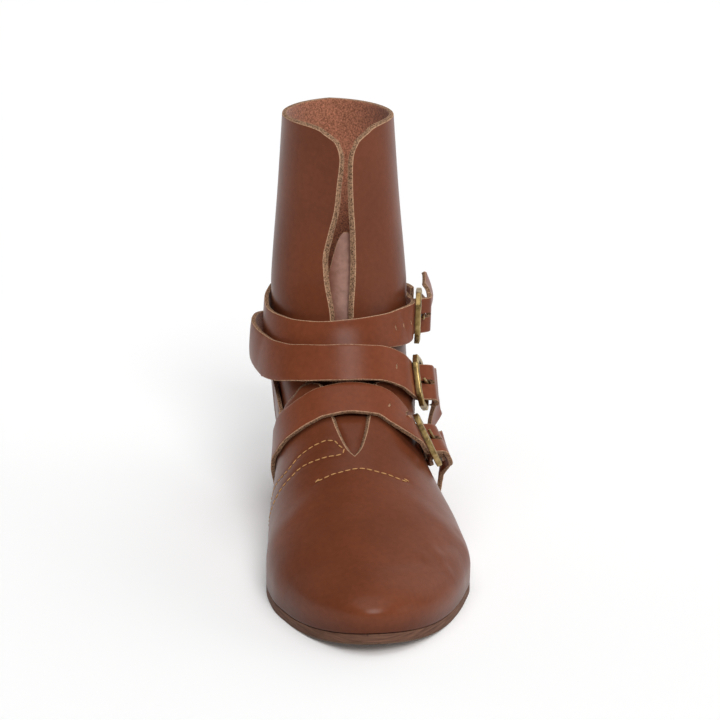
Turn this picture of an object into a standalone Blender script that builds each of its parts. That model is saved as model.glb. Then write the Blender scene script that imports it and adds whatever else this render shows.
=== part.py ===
"""A buckled leather ankle boot for the left foot: low shoe, tucked-in shaft, tongue and three buckled straps.

The boot stands on z = 0 with its toe towards -Y, its outer side towards +X and +Z up.
Sizes are in millimetres in the tables and become metres when a mesh is made.
"""

import math

import bmesh
import bpy
import numpy as np
from mathutils import Matrix, Vector

# Driving dimensions
MM = 0.001
TOE_TO_ORIGIN = 150.0
SOLE_THICK = 5.0
TOE_SPRING = 7.0
SPRING_LENGTH = 45.0
LEATHER = 2.5
SEAT_GAP = 0.3
INSOLE_THICK = 2.0
TONGUE_THICK = 2.0
SHAFT_TUCK = 3.3
TUCKED_BELOW, FLUSH_ABOVE = 94.0, 136.0
TONGUE_GAP = 0.9
UNDER_VAMP, BEHIND_SHAFT = 76.0, 90.0
STRAP_WIDTH = 20.5
STRAP_THICK = 2.4
CHAPE_WIDTH = 14.6
CHAPE_THICK = 2.0
CHAPE_SEAT = 1.5

# The last, cut level: where each height starts at the toe or instep, and where it ends at the heel.
# height, distance behind the toe tip
FRONT_PROFILE = [
    (5, 2.6), (14, 1), (18, 2.6), (23, 7.5), (28, 16), (33, 29), (38, 45), (45, 66), (52, 84), (60, 105),
    (70, 123), (80, 140), (92, 158), (105, 172), (119, 184), (140, 192), (180, 196), (232, 196),
]
BACK_PROFILE = [(5, 283), (12, 285), (25, 288), (45, 287), (65, 282), (90, 277), (120, 275), (232, 275)]
# distance behind the toe tip, inner side, outer side
OUTLINE = [
    (0, 0, 0), (12, 21, 25), (28, 32.5, 37.5), (41, 39, 44.8), (62, 46.3, 53.3), (83, 48.6, 58.3),
    (105, 47, 57), (130, 45.5, 53), (160, 42, 47), (190, 37, 41.5), (220, 35, 37.5), (250, 33.5, 34.5),
    (290, 33.5, 34),
]
# height, half width of the leg
LEG = [(5, 38), (45, 40.5), (70, 41.2), (95, 40.8), (118, 39.8), (134, 38.9), (187, 34.4), (232, 31.2)]
WIDEST_HEIGHT = 14.0
TOE_TIP = 1.0
HEEL_ROUND = 36.0
INNER_FULLNESS = 2.4
OUTER_FULLNESS = 2.0
LEG_STARTS, LEG_ALONE = 28.0, 95.0
INSTEP_END = 196.0
NO_RIDGE = 400.0

# Top line of the low shoe on each side, from the V throat to the heel.
# angle from the toe, height
TOP_INNER = [
    (0, 64.8), (5, 67.4), (9.5, 71.6), (12.5, 75.2), (15, 79.2), (24, 91), (36, 88.8), (47, 82.8), (58, 77),
    (69, 70.4), (75, 79), (80, 84.4), (100, 84), (130, 87), (180, 92),
]
TOP_OUTER = [
    (0, 64.8), (5, 67.4), (9.5, 71.6), (12.5, 75.2), (15, 79.2), (24, 91), (36, 90), (60, 84), (80, 80),
    (105, 80), (130, 84), (180, 92),
]
# Shaft: its collar and hidden lower edge by angle, and its front opening by height.
COLLAR = [(0, 219), (5, 222.3), (11, 224.5), (22, 226), (40, 227), (90, 228.5), (180, 231)]
SHAFT_FOOT = [(0, 94), (20, 94), (45, 78), (80, 60), (180, 56)]
# height, inner edge, outer edge
FRONT_OPENING = [
    (60, 7, 6), (123, 8.1, 4.9), (142, 10.8, 6.2), (152, 11.3, 6.6), (167, 8.4, 6.4), (181, 5, 5.6),
    (197, 3.3, 5), (205, 2.3, 5), (210, 2, 5.4), (214, 2.6, 6.4), (217, 3.8, 8), (220, 5.4, 9.8),
    (223, 7.6, 12),
]
# The two front edges lean forwards to meet like lapels: how far, over what width, between what heights.
LAPEL, LAPEL_REACH = 6.5, 22.0
LAPEL_STARTS, LAPEL_FULL = 110.0, 146.0
# Tongue: height, half width
TONGUE = [
    (56, 27), (66, 27), (80, 25), (100, 21), (122, 18), (135, 13.5), (148, 9.8), (158, 7), (165, 4),
    (167.5, 1.5),
]
TONGUE_ASIDE = 2.0

# Straps: angle, height, stand-off of the nearer edge and roll in degrees, from the free tail to the far end.
STRAP_TOP = [
    (110, 130.2, 7.4, -44), (105, 122.2, 9.2, -34), (98, 116.1, 10.9, -8), (89, 113.1, 10.8, 0),
    (71, 112.9, 1.4, 0), (62, 112.8, 0.8, 2), (46, 112.9, 0.6, 9), (30, 113, 0.6, 13), (7, 112.6, 0.6, 15),
    (-12, 111.4, 0.6, 15), (-31, 110.4, 0.6, 13), (-54, 109.8, 0.8, 8), (-68, 109.8, 1.2, 5),
    (-80, 110.6, 1.6, 3), (-92, 112, 1.4, 0), (-112, 115, 0.8, 0), (-128, 117.6, 0.6, 0),
    (-140, 118.2, 0.6, 0), (-180, 118.5, 0.6, 0), (-215, 117, 0.7, 0), (-238, 115.2, 0.8, 0),
    (-247, 114.7, 3.6, 0), (-254, 114.3, 3.9, 0),
]
STRAP_MIDDLE = [
    (108, 50, 10, 32), (102, 59.4, 9.6, 24), (96, 68, 10, 12), (90, 74, 11, 0), (84, 76.8, 11, 0),
    (79, 78, 10.9, 0), (68, 81, 1, 0), (57, 85.6, 0.7, 2), (51, 88.4, 1.2, 5), (40, 92.4, 3.6, 10),
    (21, 97.2, 3.6, 15), (0, 98.4, 3.6, 16), (-33, 97.2, 3.7, 13), (-50, 96, 4, 8), (-62, 95.8, 4.9, 4),
    (-74, 96.6, 6, 0), (-86, 98.4, 7.4, -3), (-96, 100, 8.4, -4), (-106, 100.8, 7.8, 0),
    (-118, 99.6, 5.9, 0), (-128, 97.5, 4, 0), (-138, 96.2, 2.1, 0), (-150, 95.6, 0.9, 0), (-180, 94, 0.6, 0),
    (-215, 89, 0.7, 0), (-230, 86.4, 0.7, 0),
]
STRAP_INSTEP = [
    (105, 21.6, 6.5, 20), (101, 30.4, 7.6, 18), (95, 38.6, 9.4, 10), (88, 44.6, 11.6, 2), (80, 48.6, 11.6, 0),
    (74, 51.4, 10.9, 0), (66, 55, 2, 0), (57, 60.6, 0.7, 0), (48, 67.6, 0.8, 0), (37, 75.8, 0.8, 0),
    (20, 83.4, 0.8, 0), (0, 85.6, 0.8, 0), (-20, 83.2, 0.8, 0), (-34, 78.6, 0.8, 0), (-48, 72.4, 0.8, 0),
    (-62, 65, 0.8, 0), (-71, 59.3, 0.8, 0), (-80.3, 53.3, 0.8, 0), (-92.9, 43.5, 0.8, 0),
    (-103.8, 33.5, 0.8, 0), (-111.8, 23.5, 0.8, 0), (-116.9, 15.5, 0.8, 0), (-120.3, 9, 0.8, 0),
]
# Chapes: angle and height, from behind the buckle to the front bar.
CHAPE_TOP = [(132, 116.6), (107, 114.4), (90, 113.1), (62, 112.8), (30, 112.8)]
CHAPE_MIDDLE = [(134, 83), (104, 79.4), (92, 77.8), (80, 78), (68, 81), (57, 85.6), (40, 92.4)]
CHAPE_INSTEP = [
    (114, 44.6), (100, 45.4), (86, 47.6), (74, 51.4), (66, 55), (57, 60.6), (48, 67.6), (37, 75.8),
]
# strap, its route, the chape's route, angle at the buckle's rear bar, how far out the front bar stands,
# the frame's roll in degrees, the chape's inner and outer legs, length of the tail's point
STRAPS = [
    ("top", STRAP_TOP, CHAPE_TOP, 90, 6.9, -4, 16, 14, 11),
    ("middle", STRAP_MIDDLE, CHAPE_MIDDLE, 79, 7.0, 9, 16, 14, 0),
    ("instep", STRAP_INSTEP, CHAPE_INSTEP, 74, 7.5, 8, 18, 14, 0),
]
POINT_WIDTH = 0.15

# Buckles
BAR_TO_BAR = 20.0
FRAME_HEIGHT = 30.0
FRAME_CORNER = 4.8
BAR_WIDE, BAR_BELOW, BAR_ABOVE = 3.8, 1.5, 2.0
BAR_EDGE = 0.7
SHARP_EDGE = 60.0
REAR_BAR_OUT = 5.6
FOLD_RADIUS = 3.5
FOLD_STEPS = 6
PRONG_RADIUS = 0.9
PRONG_LOOP = 3.3
PRONG_LOOP_STEPS = 7
PRONG_REACH = 18.7
PRONG_TIP = 0.7
HOOK_FROM, HOOK_TO = 300.0, 90.0
SLOT_WIDE = 4.4
HOLE_WIDE = 3.2
HOLE_FROM, HOLE_TO = 5.0, 12.8
HOLE_DEEP = 2.0
# How the strap's inner face passes the buckle: distance ahead of the rear bar, height from the bar's middle
BUCKLE_PATH = [(-40, 5.3), (0, 5.1), (4.5, 5.1), (15, -4.3), (40, -4.3)]
HOLD_BEHIND, HOLD_AHEAD, HOLD_FADE = 1.0, 23.5, 9.0

# How finely each piece is divided, and where its rows and columns crowd together
UPPER_COLUMNS, UPPER_ROWS = 66, 15
SHAFT_COLUMNS, SHAFT_ROWS = 38, 9
TONGUE_COLUMNS, TONGUE_ROWS = 6, 14
SOLE_STATIONS, SOLE_RIBS = 36, 4
STRAP_STEP, STRAP_RIBS = 5.6, 2
BUCKLE_STEP = 2.5
CHAPE_STEP = 5.0
THROAT_CROWD = 0.2
OPENING_CROWD = 0.35
SHAFT_LOW_CROWD = 1.35
TONGUE_HIGH_CROWD = 1.25
LINE_SAMPLES = 160
ROUTE_SAMPLES = 1200

# colour, roughness, metallic
TAN_LEATHER = (0.15, 0.047, 0.022, 1), 0.45, 0.0
SOLE_LEATHER = (0.060, 0.028, 0.018, 1), 0.6, 0.0
RAW_LEATHER = (0.20, 0.09, 0.05, 1), 0.85, 0.0
OLD_BRASS = (0.36, 0.25, 0.09, 1), 0.35, 1.0


def smooth(table, column, at):
    """One column of a table as a smooth curve over its first column, with no overshoot."""
    rows = np.array(table, float)
    x, y = rows[:, 0], rows[:, column]
    step = np.diff(x)
    rise = np.diff(y) / step
    slope = np.zeros_like(y)
    slope[0], slope[-1] = rise[0], rise[-1]
    before, after = rise[:-1], rise[1:]
    same_way = before * after > 0
    wb, wa = 2 * step[1:] + step[:-1], step[1:] + 2 * step[:-1]
    safe_before, safe_after = np.where(same_way, before, 1), np.where(same_way, after, 1)
    slope[1:-1] = np.where(same_way, (wb + wa) / (wb / safe_before + wa / safe_after), 0)
    at = np.clip(at, x[0], x[-1])
    i = np.clip(np.searchsorted(x, at) - 1, 0, len(x) - 2)
    t = (at - x[i]) / step[i]
    ends = (1 + 2 * t) * (1 - t) ** 2 * y[i] + t * t * (3 - 2 * t) * y[i + 1]
    return ends + step[i] * t * (1 - t) * ((1 - t) * slope[i] - t * slope[i + 1])


def ease(start, end, value):
    t = np.clip((value - start) / (end - start), 0, 1)
    return t * t * (3 - 2 * t)


def spring(distance):
    """How far the toe lifts off the ground."""
    return TOE_SPRING * np.clip(1 - distance / SPRING_LENGTH, 0, 1) ** 2


RIDGE_HEIGHT = np.linspace(WIDEST_HEIGHT, 180, 800)
RIDGE_AT = smooth(FRONT_PROFILE, 1, RIDGE_HEIGHT)
ROOT_OUTLINE = [(math.sqrt(distance), inner, outer) for distance, inner, outer in OUTLINE]


def last_point(angle, height):
    """A point on the last, from its angle round the foot and its height, both arrays."""
    angle = (angle + np.pi) % (2 * np.pi) - np.pi
    front, back = smooth(FRONT_PROFILE, 1, height), smooth(BACK_PROFILE, 1, height)
    distance = front + (back - front) * (1 - np.cos(angle)) / 2
    outer = angle >= 0
    # The foot: the outline's width, drawn in towards the ridge of the instep with height.
    # The outline is read by the root of the distance, which rounds the tip of the toe.
    from_tip = np.sqrt(np.maximum(distance - np.where(height < WIDEST_HEIGHT, front, TOE_TIP), 0))
    wide = np.where(outer, smooth(ROOT_OUTLINE, 2, from_tip), smooth(ROOT_OUTLINE, 1, from_tip))
    ridge = np.where(distance > INSTEP_END, NO_RIDGE, np.interp(distance, RIDGE_AT, RIDGE_HEIGHT))
    up = np.clip((height - WIDEST_HEIGHT) / np.maximum(ridge - WIDEST_HEIGHT, 0.01), 0, 1)
    arch = np.sqrt(1 - up ** np.where(outer, OUTER_FULLNESS, INNER_FULLNESS))
    from_heel = np.clip((back - distance) / HEEL_ROUND, 0, 1)
    heel = np.sqrt(1 - (1 - from_heel) ** 2)
    foot = wide * arch * heel
    leg = smooth(LEG, 1, height) * np.abs(np.sin(angle))
    share = ease(LEG_STARTS, LEG_ALONE, height)
    half = foot * (1 - share) + leg * share
    return np.stack([np.where(outer, half, -half), distance - TOE_TO_ORIGIN, height + spring(distance)], -1)


def last_normal(angle, height):
    """The direction straight out of the last."""
    turn, lift = 0.02, 0.4
    along = last_point(angle + turn, height) - last_point(angle - turn, height)
    upward = last_point(angle, height + lift) - last_point(angle, height - lift)
    across = np.cross(along, upward)
    return across / np.linalg.norm(across, axis=-1, keepdims=True)


def off_last(angle, height, out):
    """A point that stands off the last, or lies inside it where out is negative."""
    angle, height, out = np.broadcast_arrays(angle, height, out)
    return last_point(angle, height) + last_normal(angle, height) * out[..., None]


def top_line(angle):
    turned = np.degrees(np.abs(angle))
    return np.where(angle < 0, smooth(TOP_INNER, 1, turned), smooth(TOP_OUTER, 1, turned))


def shaft_tuck(height):
    """How deep the shaft's face lies inside the last: tucked in low down, flush above the straps."""
    return SHAFT_TUCK * (1 - ease(TUCKED_BELOW, FLUSH_ABOVE, height))


def new_material(name, finish):
    colour, roughness, metallic = finish
    material = bpy.data.materials.new(name)
    material.use_nodes = True
    shader = material.node_tree.nodes["Principled BSDF"]
    shader.inputs["Base Color"].default_value = colour
    shader.inputs["Roughness"].default_value = roughness
    shader.inputs["Metallic"].default_value = metallic
    return material


def mesh_object(name, bm, finish, group):
    mesh = bpy.data.meshes.new(name)
    bm.to_mesh(mesh)
    bm.free()
    obj = bpy.data.objects.new(name, mesh)
    group.objects.link(obj)
    if finish:
        mesh.materials.append(new_material(name, finish))
    return obj


def sheet(name, u, v, place, finish, group, thickness, offset):
    """A grid whose columns u and rows v are laid out by place(u, v), given a thickness."""
    bm = bmesh.new()
    columns, rows = len(u), len(v)
    bmesh.ops.create_grid(bm, x_segments=columns - 1, y_segments=rows - 1, size=0.5)
    corners = np.array([vert.co[:2] for vert in bm.verts])
    column = np.rint((corners[:, 0] + 0.5) * (columns - 1)).astype(int)
    row = np.rint((corners[:, 1] + 0.5) * (rows - 1)).astype(int)
    points = place(np.asarray(u)[column], np.asarray(v)[row]) * MM
    for vert, point in zip(bm.verts, points):
        vert.co = point
    bmesh.ops.remove_doubles(bm, verts=bm.verts, dist=1e-6)
    obj = mesh_object(name, bm, finish, group)
    wall = obj.modifiers.new("Wall", "SOLIDIFY")
    wall.thickness = thickness * MM
    wall.offset = offset
    obj.data.shade_smooth()
    return obj


def make_sole(name, group, height, inset, thickness, finish, down):
    """A plate inside the last's outline: stations from toe to heel, ribs from the inner to the outer side."""
    def place(station, rib):
        inner = off_last(-station, np.full_like(station, height), -inset)
        outer = off_last(station, np.full_like(station, height), -inset)
        point = inner + (outer - inner) * rib[:, None]
        distance = point[:, 1] + TOE_TO_ORIGIN
        point[:, 2] = height + spring(distance)
        return point

    stations = np.linspace(0, np.pi, SOLE_STATIONS + 1)
    ribs = np.linspace(0, 1, SOLE_RIBS + 1)
    return sheet(name, stations, ribs, place, finish, group, thickness, 1 if down else -1)


def even_heights(angle, foot, top, share):
    """Heights along one line of the last, from foot to top, at even shares of its length."""
    steps = np.linspace(0, 1, LINE_SAMPLES)
    heights = foot + (top - foot) * steps
    line = last_point(np.full_like(heights, angle), heights)
    walked = np.concatenate([[0], np.cumsum(np.linalg.norm(np.diff(line, axis=0), axis=1))])
    return np.interp(share * walked[-1], walked, heights)


def make_upper(group):
    feather = SOLE_THICK + SEAT_GAP

    def place(angle, share):
        height = np.array([even_heights(a, feather, top_line(a), s) for a, s in zip(angle, share)])
        return last_point(angle, height)

    # Columns crowd together towards the throat, where the top line is steepest.
    spread = np.linspace(-1, 1, UPPER_COLUMNS + 1)
    angles = np.pi * ((1 - THROAT_CROWD) * spread + THROAT_CROWD * spread ** 3)
    return sheet("upper", angles, np.linspace(0, 1, UPPER_ROWS + 1), place, TAN_LEATHER, group, LEATHER, -1)


def make_shaft(group):
    def place(share, rise):
        from_front = 180 - np.abs(180 - 360 * share)
        foot, top = smooth(SHAFT_FOOT, 1, from_front), smooth(COLLAR, 1, from_front)
        height = foot + (top - foot) * rise
        half = smooth(LEG, 1, height)
        outer_edge = np.arcsin(smooth(FRONT_OPENING, 2, height) / half)
        inner_edge = np.arcsin(smooth(FRONT_OPENING, 1, height) / half)
        angle = outer_edge + (2 * np.pi - inner_edge - outer_edge) * share
        point = off_last(angle, height, -shaft_tuck(height))
        near_front = np.where(np.cos(angle) > 0, np.clip(1 - np.abs(point[:, 0]) / LAPEL_REACH, 0, 1), 0)
        point[:, 1] -= LAPEL * ease(LAPEL_STARTS, LAPEL_FULL, height) * near_front ** 2
        return point

    spread = np.linspace(-1, 1, SHAFT_COLUMNS + 1)
    crowded = (1 - OPENING_CROWD) * spread + OPENING_CROWD * np.sin(spread * np.pi / 2)
    shares = 0.5 + 0.5 * crowded
    rises = np.linspace(0, 1, SHAFT_ROWS + 1) ** SHAFT_LOW_CROWD
    return sheet("shaft", shares, rises, place, TAN_LEATHER, group, LEATHER, -1)


def make_tongue(group):
    def place(across, height):
        behind_shaft = shaft_tuck(height) * ease(UNDER_VAMP, BEHIND_SHAFT, height)
        deep = LEATHER + TONGUE_GAP + behind_shaft
        half = smooth(LEG, 1, height)
        aside = TONGUE_ASIDE * ease(BEHIND_SHAFT, TONGUE[-1][0], height)
        angle = np.arcsin((across * smooth(TONGUE, 1, height) + aside) / half)
        return off_last(angle, height, -deep)

    rises = np.linspace(0, 1, TONGUE_ROWS + 1)
    heights = TONGUE[0][0] + (TONGUE[-1][0] - TONGUE[0][0]) * (1 - (1 - rises) ** TONGUE_HIGH_CROWD)
    return sheet("tongue", np.linspace(-1, 1, TONGUE_COLUMNS + 1), heights, place, TAN_LEATHER, group,
                 TONGUE_THICK, -1)


class Route:
    """A strap's middle line over the last, measured in millimetres from its free tail."""

    def __init__(self, table):
        rows = np.array(table, float)
        marks = last_point(np.radians(rows[:, 0]), rows[:, 1])
        chord = np.concatenate([[0], np.cumsum(np.linalg.norm(np.diff(marks, axis=0), axis=1))])
        self.by_chord = np.column_stack([chord, np.radians(rows[:, 0]), rows[:, 1:]])
        fine = np.linspace(0, chord[-1], ROUTE_SAMPLES)
        line = last_point(smooth(self.by_chord, 1, fine), smooth(self.by_chord, 2, fine))
        walked = np.concatenate([[0], np.cumsum(np.linalg.norm(np.diff(line, axis=0), axis=1))])
        self.fine, self.walked, self.length = fine, walked, walked[-1]

    def on_last(self, along):
        chord = np.interp(along, self.walked, self.fine)
        return smooth(self.by_chord, 1, chord), smooth(self.by_chord, 2, chord)

    def stand_off(self, along):
        return smooth(self.by_chord, 3, np.interp(along, self.walked, self.fine))

    def roll(self, along):
        return np.radians(smooth(self.by_chord, 4, np.interp(along, self.walked, self.fine)))

    def where(self, angle):
        """The distance along at which the route passes an angle, in degrees."""
        chord = np.interp(-np.radians(angle), -self.by_chord[:, 1], self.by_chord[:, 0])
        return float(np.interp(chord, self.fine, self.walked))

    def point(self, along, across, out):
        """A point across the strap, in steps on the last, then straight out from it."""
        along, across, out = np.broadcast_arrays(np.asarray(along, float), across, out)
        angle, height = self.on_last(along)
        ahead, behind = self.on_last(along + 1.0), self.on_last(along - 1.0)
        travel = last_point(*ahead) - last_point(*behind)
        normal = last_normal(angle, height)
        side = np.cross(travel, normal)
        side /= np.linalg.norm(side, axis=-1, keepdims=True)
        turn, lift = 0.01, 0.2
        by_angle = (last_point(angle + turn, height) - last_point(angle - turn, height)) / (2 * turn)
        by_height = (last_point(angle, height + lift) - last_point(angle, height - lift)) / (2 * lift)
        aa, hh = (by_angle ** 2).sum(-1), (by_height ** 2).sum(-1)
        ah = (by_angle * by_height).sum(-1)
        sa, sh = (side * by_angle).sum(-1), (side * by_height).sum(-1)
        spread = aa * hh - ah * ah
        d_angle, d_height = (sa * hh - sh * ah) / spread, (sh * aa - sa * ah) / spread
        return off_last(angle + d_angle * across, height + d_height * across, out)


class Seat:
    """A buckle's own axes: ahead runs from the rear bar to the front bar, out is away from the boot."""

    def __init__(self, route, bar_at, front_bar_out, roll):
        self.bar_at = bar_at
        self.rear = route.point(bar_at, 0.0, REAR_BAR_OUT)
        front = route.point(bar_at + BAR_TO_BAR, 0.0, front_bar_out)
        self.length = np.linalg.norm(front - self.rear)
        self.ahead = (front - self.rear) / self.length
        side = route.point(bar_at, 1.0, REAR_BAR_OUT) - route.point(bar_at, -1.0, REAR_BAR_OUT)
        side -= self.ahead * side.dot(self.ahead)
        level = side / np.linalg.norm(side)
        self.side = level * math.cos(roll) - np.cross(level, self.ahead) * math.sin(roll)
        self.out = np.cross(self.side, self.ahead)
        axes = Matrix((self.ahead, -self.side, self.out)).transposed().to_4x4()
        self.matrix = Matrix.Translation(Vector(self.rear) * MM) @ axes

    def point(self, ahead, across, out):
        level = self.rear + ahead[:, None] * self.ahead + across[:, None] * self.side
        return level + out[:, None] * self.out

    def hold(self, ahead):
        """How far the buckle, and not the boot, decides where the leather lies."""
        taken = ease(-HOLD_BEHIND - HOLD_FADE, -HOLD_BEHIND, ahead)
        released = ease(HOLD_AHEAD, HOLD_AHEAD + HOLD_FADE, ahead)
        return taken * (1 - released)


def strip(name, route, seat, bar_at, along, stand_off, roll, from_bar, size, offset, group):
    """A leather strip along a route: it stands off the boot, or inside its buckle off the buckle's bar."""
    width, thickness, share = size
    ribs = np.linspace(-0.5, 0.5, STRAP_RIBS + 1) * width

    def place(rib, step):
        ahead = along[step] - bar_at
        rib = rib * share[step]
        lift = np.sin(roll[step])
        out = stand_off[step] + rib * lift + width / 2 * np.abs(lift)
        free = route.point(along[step], rib * np.cos(roll[step]), out)
        held = seat.point(ahead, rib, from_bar[step])
        return free + (held - free) * seat.hold(ahead)[:, None]

    steps = np.arange(len(along))
    return sheet(name, ribs, steps, place, TAN_LEATHER, group, thickness, offset)


def make_strap(label, route, seat, bar_at, point, group):
    fine = np.arange(bar_at - 2 * BUCKLE_STEP, bar_at + HOLD_AHEAD, BUCKLE_STEP)
    tail = np.linspace(0, fine[0], max(2, int(fine[0] / STRAP_STEP)) + 1)[:-1]
    steps = int((route.length - fine[-1]) / STRAP_STEP)
    rest = np.linspace(fine[-1], route.length, steps + 1)[1:]
    along = np.concatenate([tail, fine, rest])
    from_bar = smooth(BUCKLE_PATH, 1, along - bar_at)
    share = np.clip(along / point, POINT_WIDTH, 1) if point else np.ones_like(along)
    size = STRAP_WIDTH, STRAP_THICK, share
    stand_off, roll = route.stand_off(along), route.roll(along)
    return strip("strap_" + label, route, seat, bar_at, along, stand_off, roll, from_bar, size, 1, group)


def make_chape(label, route, seat, inner_leg, outer_leg, group):
    """A strip folded round the buckle's rear bar, open towards the back of the boot."""
    inner_steps, outer_steps = int(inner_leg / CHAPE_STEP), int(outer_leg / CHAPE_STEP)
    turn = np.linspace(-np.pi / 2, np.pi / 2, FOLD_STEPS + 1)
    inner = np.linspace(-inner_leg, 0, inner_steps + 1)[:-1]
    outer = np.linspace(0, -outer_leg, outer_steps + 1)[1:]
    ahead = np.concatenate([inner, FOLD_RADIUS * np.cos(turn), outer])
    from_bar = np.concatenate([
        np.full_like(inner, -FOLD_RADIUS), FOLD_RADIUS * np.sin(turn), np.full_like(outer, FOLD_RADIUS)])
    along = seat.bar_at + ahead
    stand_off = np.concatenate([np.full_like(inner, CHAPE_SEAT), REAR_BAR_OUT + from_bar[len(inner):]])
    size = CHAPE_WIDTH, CHAPE_THICK, np.ones_like(along)
    roll = np.zeros_like(along)
    return strip("chape_" + label, route, seat, seat.bar_at, along, stand_off, roll, from_bar, size, 0, group)


def make_frame(label, seat, group):
    """An eight-sided cast ring, cut from a plate and edge-rounded."""
    def loop(bm, grow, level):
        half_long, half_high = seat.length / 2 + grow, FRAME_HEIGHT / 2 - BAR_WIDE / 2 + grow
        cut = FRAME_CORNER + grow * (2 - math.sqrt(2))
        corners = []
        for along, high in ((1, 1), (-1, 1), (-1, -1), (1, -1)):
            ends = [(half_long, half_high - cut), (half_long - cut, half_high)]
            corners += [(along * a, high * h) for a, h in (ends if along * high > 0 else ends[::-1])]
        return [bm.verts.new(Vector((a + seat.length / 2, h, level)) * MM) for a, h in corners]

    bm = bmesh.new()
    half = BAR_WIDE / 2
    rings = [loop(bm, half, -BAR_BELOW), loop(bm, half, BAR_ABOVE),
             loop(bm, -half, BAR_ABOVE), loop(bm, -half, -BAR_BELOW)]
    for near, far in zip(rings, rings[1:] + rings[:1]):
        for i in range(len(near)):
            j = (i + 1) % len(near)
            bm.faces.new((near[i], near[j], far[j], far[i]))
    bmesh.ops.recalc_face_normals(bm, faces=bm.faces)
    obj = mesh_object("buckle_frame_" + label, bm, OLD_BRASS, group)
    obj.matrix_world = seat.matrix
    edge = obj.modifiers.new("Edges", "BEVEL")
    edge.width = BAR_EDGE * MM
    edge.segments = 1
    edge.limit_method = "ANGLE"
    edge.angle_limit = math.radians(SHARP_EDGE)
    return obj


def make_prong(label, seat, group):
    """A brass wire hooked round the rear bar, with its point lying just behind the top of the front bar."""
    turn = np.radians(np.linspace(HOOK_FROM, HOOK_TO, PRONG_LOOP_STEPS))
    hook = [(PRONG_LOOP * math.cos(t), PRONG_LOOP * math.sin(t)) for t in turn]
    path = hook + [(PRONG_REACH * 0.5, PRONG_LOOP), (PRONG_REACH, PRONG_LOOP)]
    curve = bpy.data.curves.new("buckle_prong_" + label, "CURVE")
    curve.dimensions = "3D"
    curve.bevel_depth = PRONG_RADIUS * MM
    curve.bevel_resolution = 1
    curve.use_fill_caps = True
    spline = curve.splines.new("POLY")
    spline.points.add(len(path) - 1)
    for point, (ahead, out) in zip(spline.points, path):
        point.co = (ahead * MM, 0, out * MM, 1)
    spline.points[-1].radius = PRONG_TIP
    obj = bpy.data.objects.new(curve.name, curve)
    group.objects.link(obj)
    obj.matrix_world = seat.matrix
    curve.materials.append(new_material(curve.name, OLD_BRASS))
    return obj


def cut_box(piece, name, seat, ahead, wide, out, group):
    """Cuts a box, given in the buckle's own axes, out of a leather piece."""
    bm = bmesh.new()
    bmesh.ops.create_cube(bm, size=1.0)
    size = Vector((ahead[1] - ahead[0], wide, out[1] - out[0])) * MM
    middle = Vector((sum(ahead) / 2, 0, sum(out) / 2)) * MM
    placed = Matrix.Translation(middle) @ Matrix.Diagonal(size).to_4x4()
    bmesh.ops.transform(bm, matrix=placed, verts=bm.verts)
    cutter = mesh_object(name, bm, None, group)
    cutter.matrix_world = seat.matrix
    cutter.hide_render = True
    cutter.display_type = "WIRE"
    cut = piece.modifiers.new("Cut", "BOOLEAN")
    cut.operation = "DIFFERENCE"
    cut.solver = "EXACT"
    cut.object = cutter


def new_collection(name):
    group = bpy.data.collections.new(name)
    bpy.context.scene.collection.children.link(group)
    return group


def main():
    for obj in list(bpy.data.objects):
        bpy.data.objects.remove(obj, do_unlink=True)
    boot, cutters = new_collection("buckled_boot"), new_collection("cutters")
    make_sole("outsole", boot, SOLE_THICK, 0.0, SOLE_THICK, SOLE_LEATHER, down=True)
    inset = LEATHER + 2 * SEAT_GAP
    make_sole("insole", boot, SOLE_THICK + SEAT_GAP, inset, INSOLE_THICK, RAW_LEATHER, down=False)
    make_upper(boot)
    make_shaft(boot)
    make_tongue(boot)
    for label, strap_table, chape_table, bar_angle, front_out, roll, inner_leg, outer_leg, point in STRAPS:
        route, chape_route = Route(strap_table), Route(chape_table)
        seat = Seat(chape_route, chape_route.where(bar_angle), front_out, math.radians(roll))
        strap = make_strap(label, route, seat, route.where(bar_angle), point, boot)
        chape = make_chape(label, chape_route, seat, inner_leg, outer_leg, boot)
        make_frame(label, seat, boot)
        make_prong(label, seat, boot)
        reach = FOLD_RADIUS + 3 * CHAPE_THICK
        cut_box(chape, "slot_" + label, seat, (-reach, reach), SLOT_WIDE, (-reach, reach), cutters)
        cut_box(strap, "hole_" + label, seat, (HOLE_FROM, HOLE_TO), HOLE_WIDE, (-HOLE_DEEP, reach), cutters)


main()
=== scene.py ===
# %% [markdown]
# # A buckled ankle boot
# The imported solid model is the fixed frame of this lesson. It has the right size and place for every piece:
# sole, low shoe, shaft, tongue, straps and buckles. Each step below makes one piece again at a finer grain,
# with its cut edges, stitches, punched holes and finish, and lets it stand for the plain solid.

# %% Open the frame
import math
from contextlib import contextmanager

import bpy
import numpy as np
from mathutils import Matrix, Vector


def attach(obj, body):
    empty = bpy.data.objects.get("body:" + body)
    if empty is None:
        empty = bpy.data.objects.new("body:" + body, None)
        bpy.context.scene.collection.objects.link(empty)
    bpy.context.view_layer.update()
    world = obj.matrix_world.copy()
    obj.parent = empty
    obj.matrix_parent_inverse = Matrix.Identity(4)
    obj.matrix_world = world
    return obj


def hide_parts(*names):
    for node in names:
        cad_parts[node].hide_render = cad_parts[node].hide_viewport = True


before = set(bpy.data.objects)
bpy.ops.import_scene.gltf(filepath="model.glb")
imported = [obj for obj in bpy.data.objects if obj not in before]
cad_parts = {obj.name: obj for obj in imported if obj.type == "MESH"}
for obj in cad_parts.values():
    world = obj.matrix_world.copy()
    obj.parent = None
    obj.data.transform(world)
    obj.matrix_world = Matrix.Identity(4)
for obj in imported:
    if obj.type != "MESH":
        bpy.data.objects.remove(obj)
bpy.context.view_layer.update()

MM = 0.001
bpy.ops.object.select_all(action="DESELECT")

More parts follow.
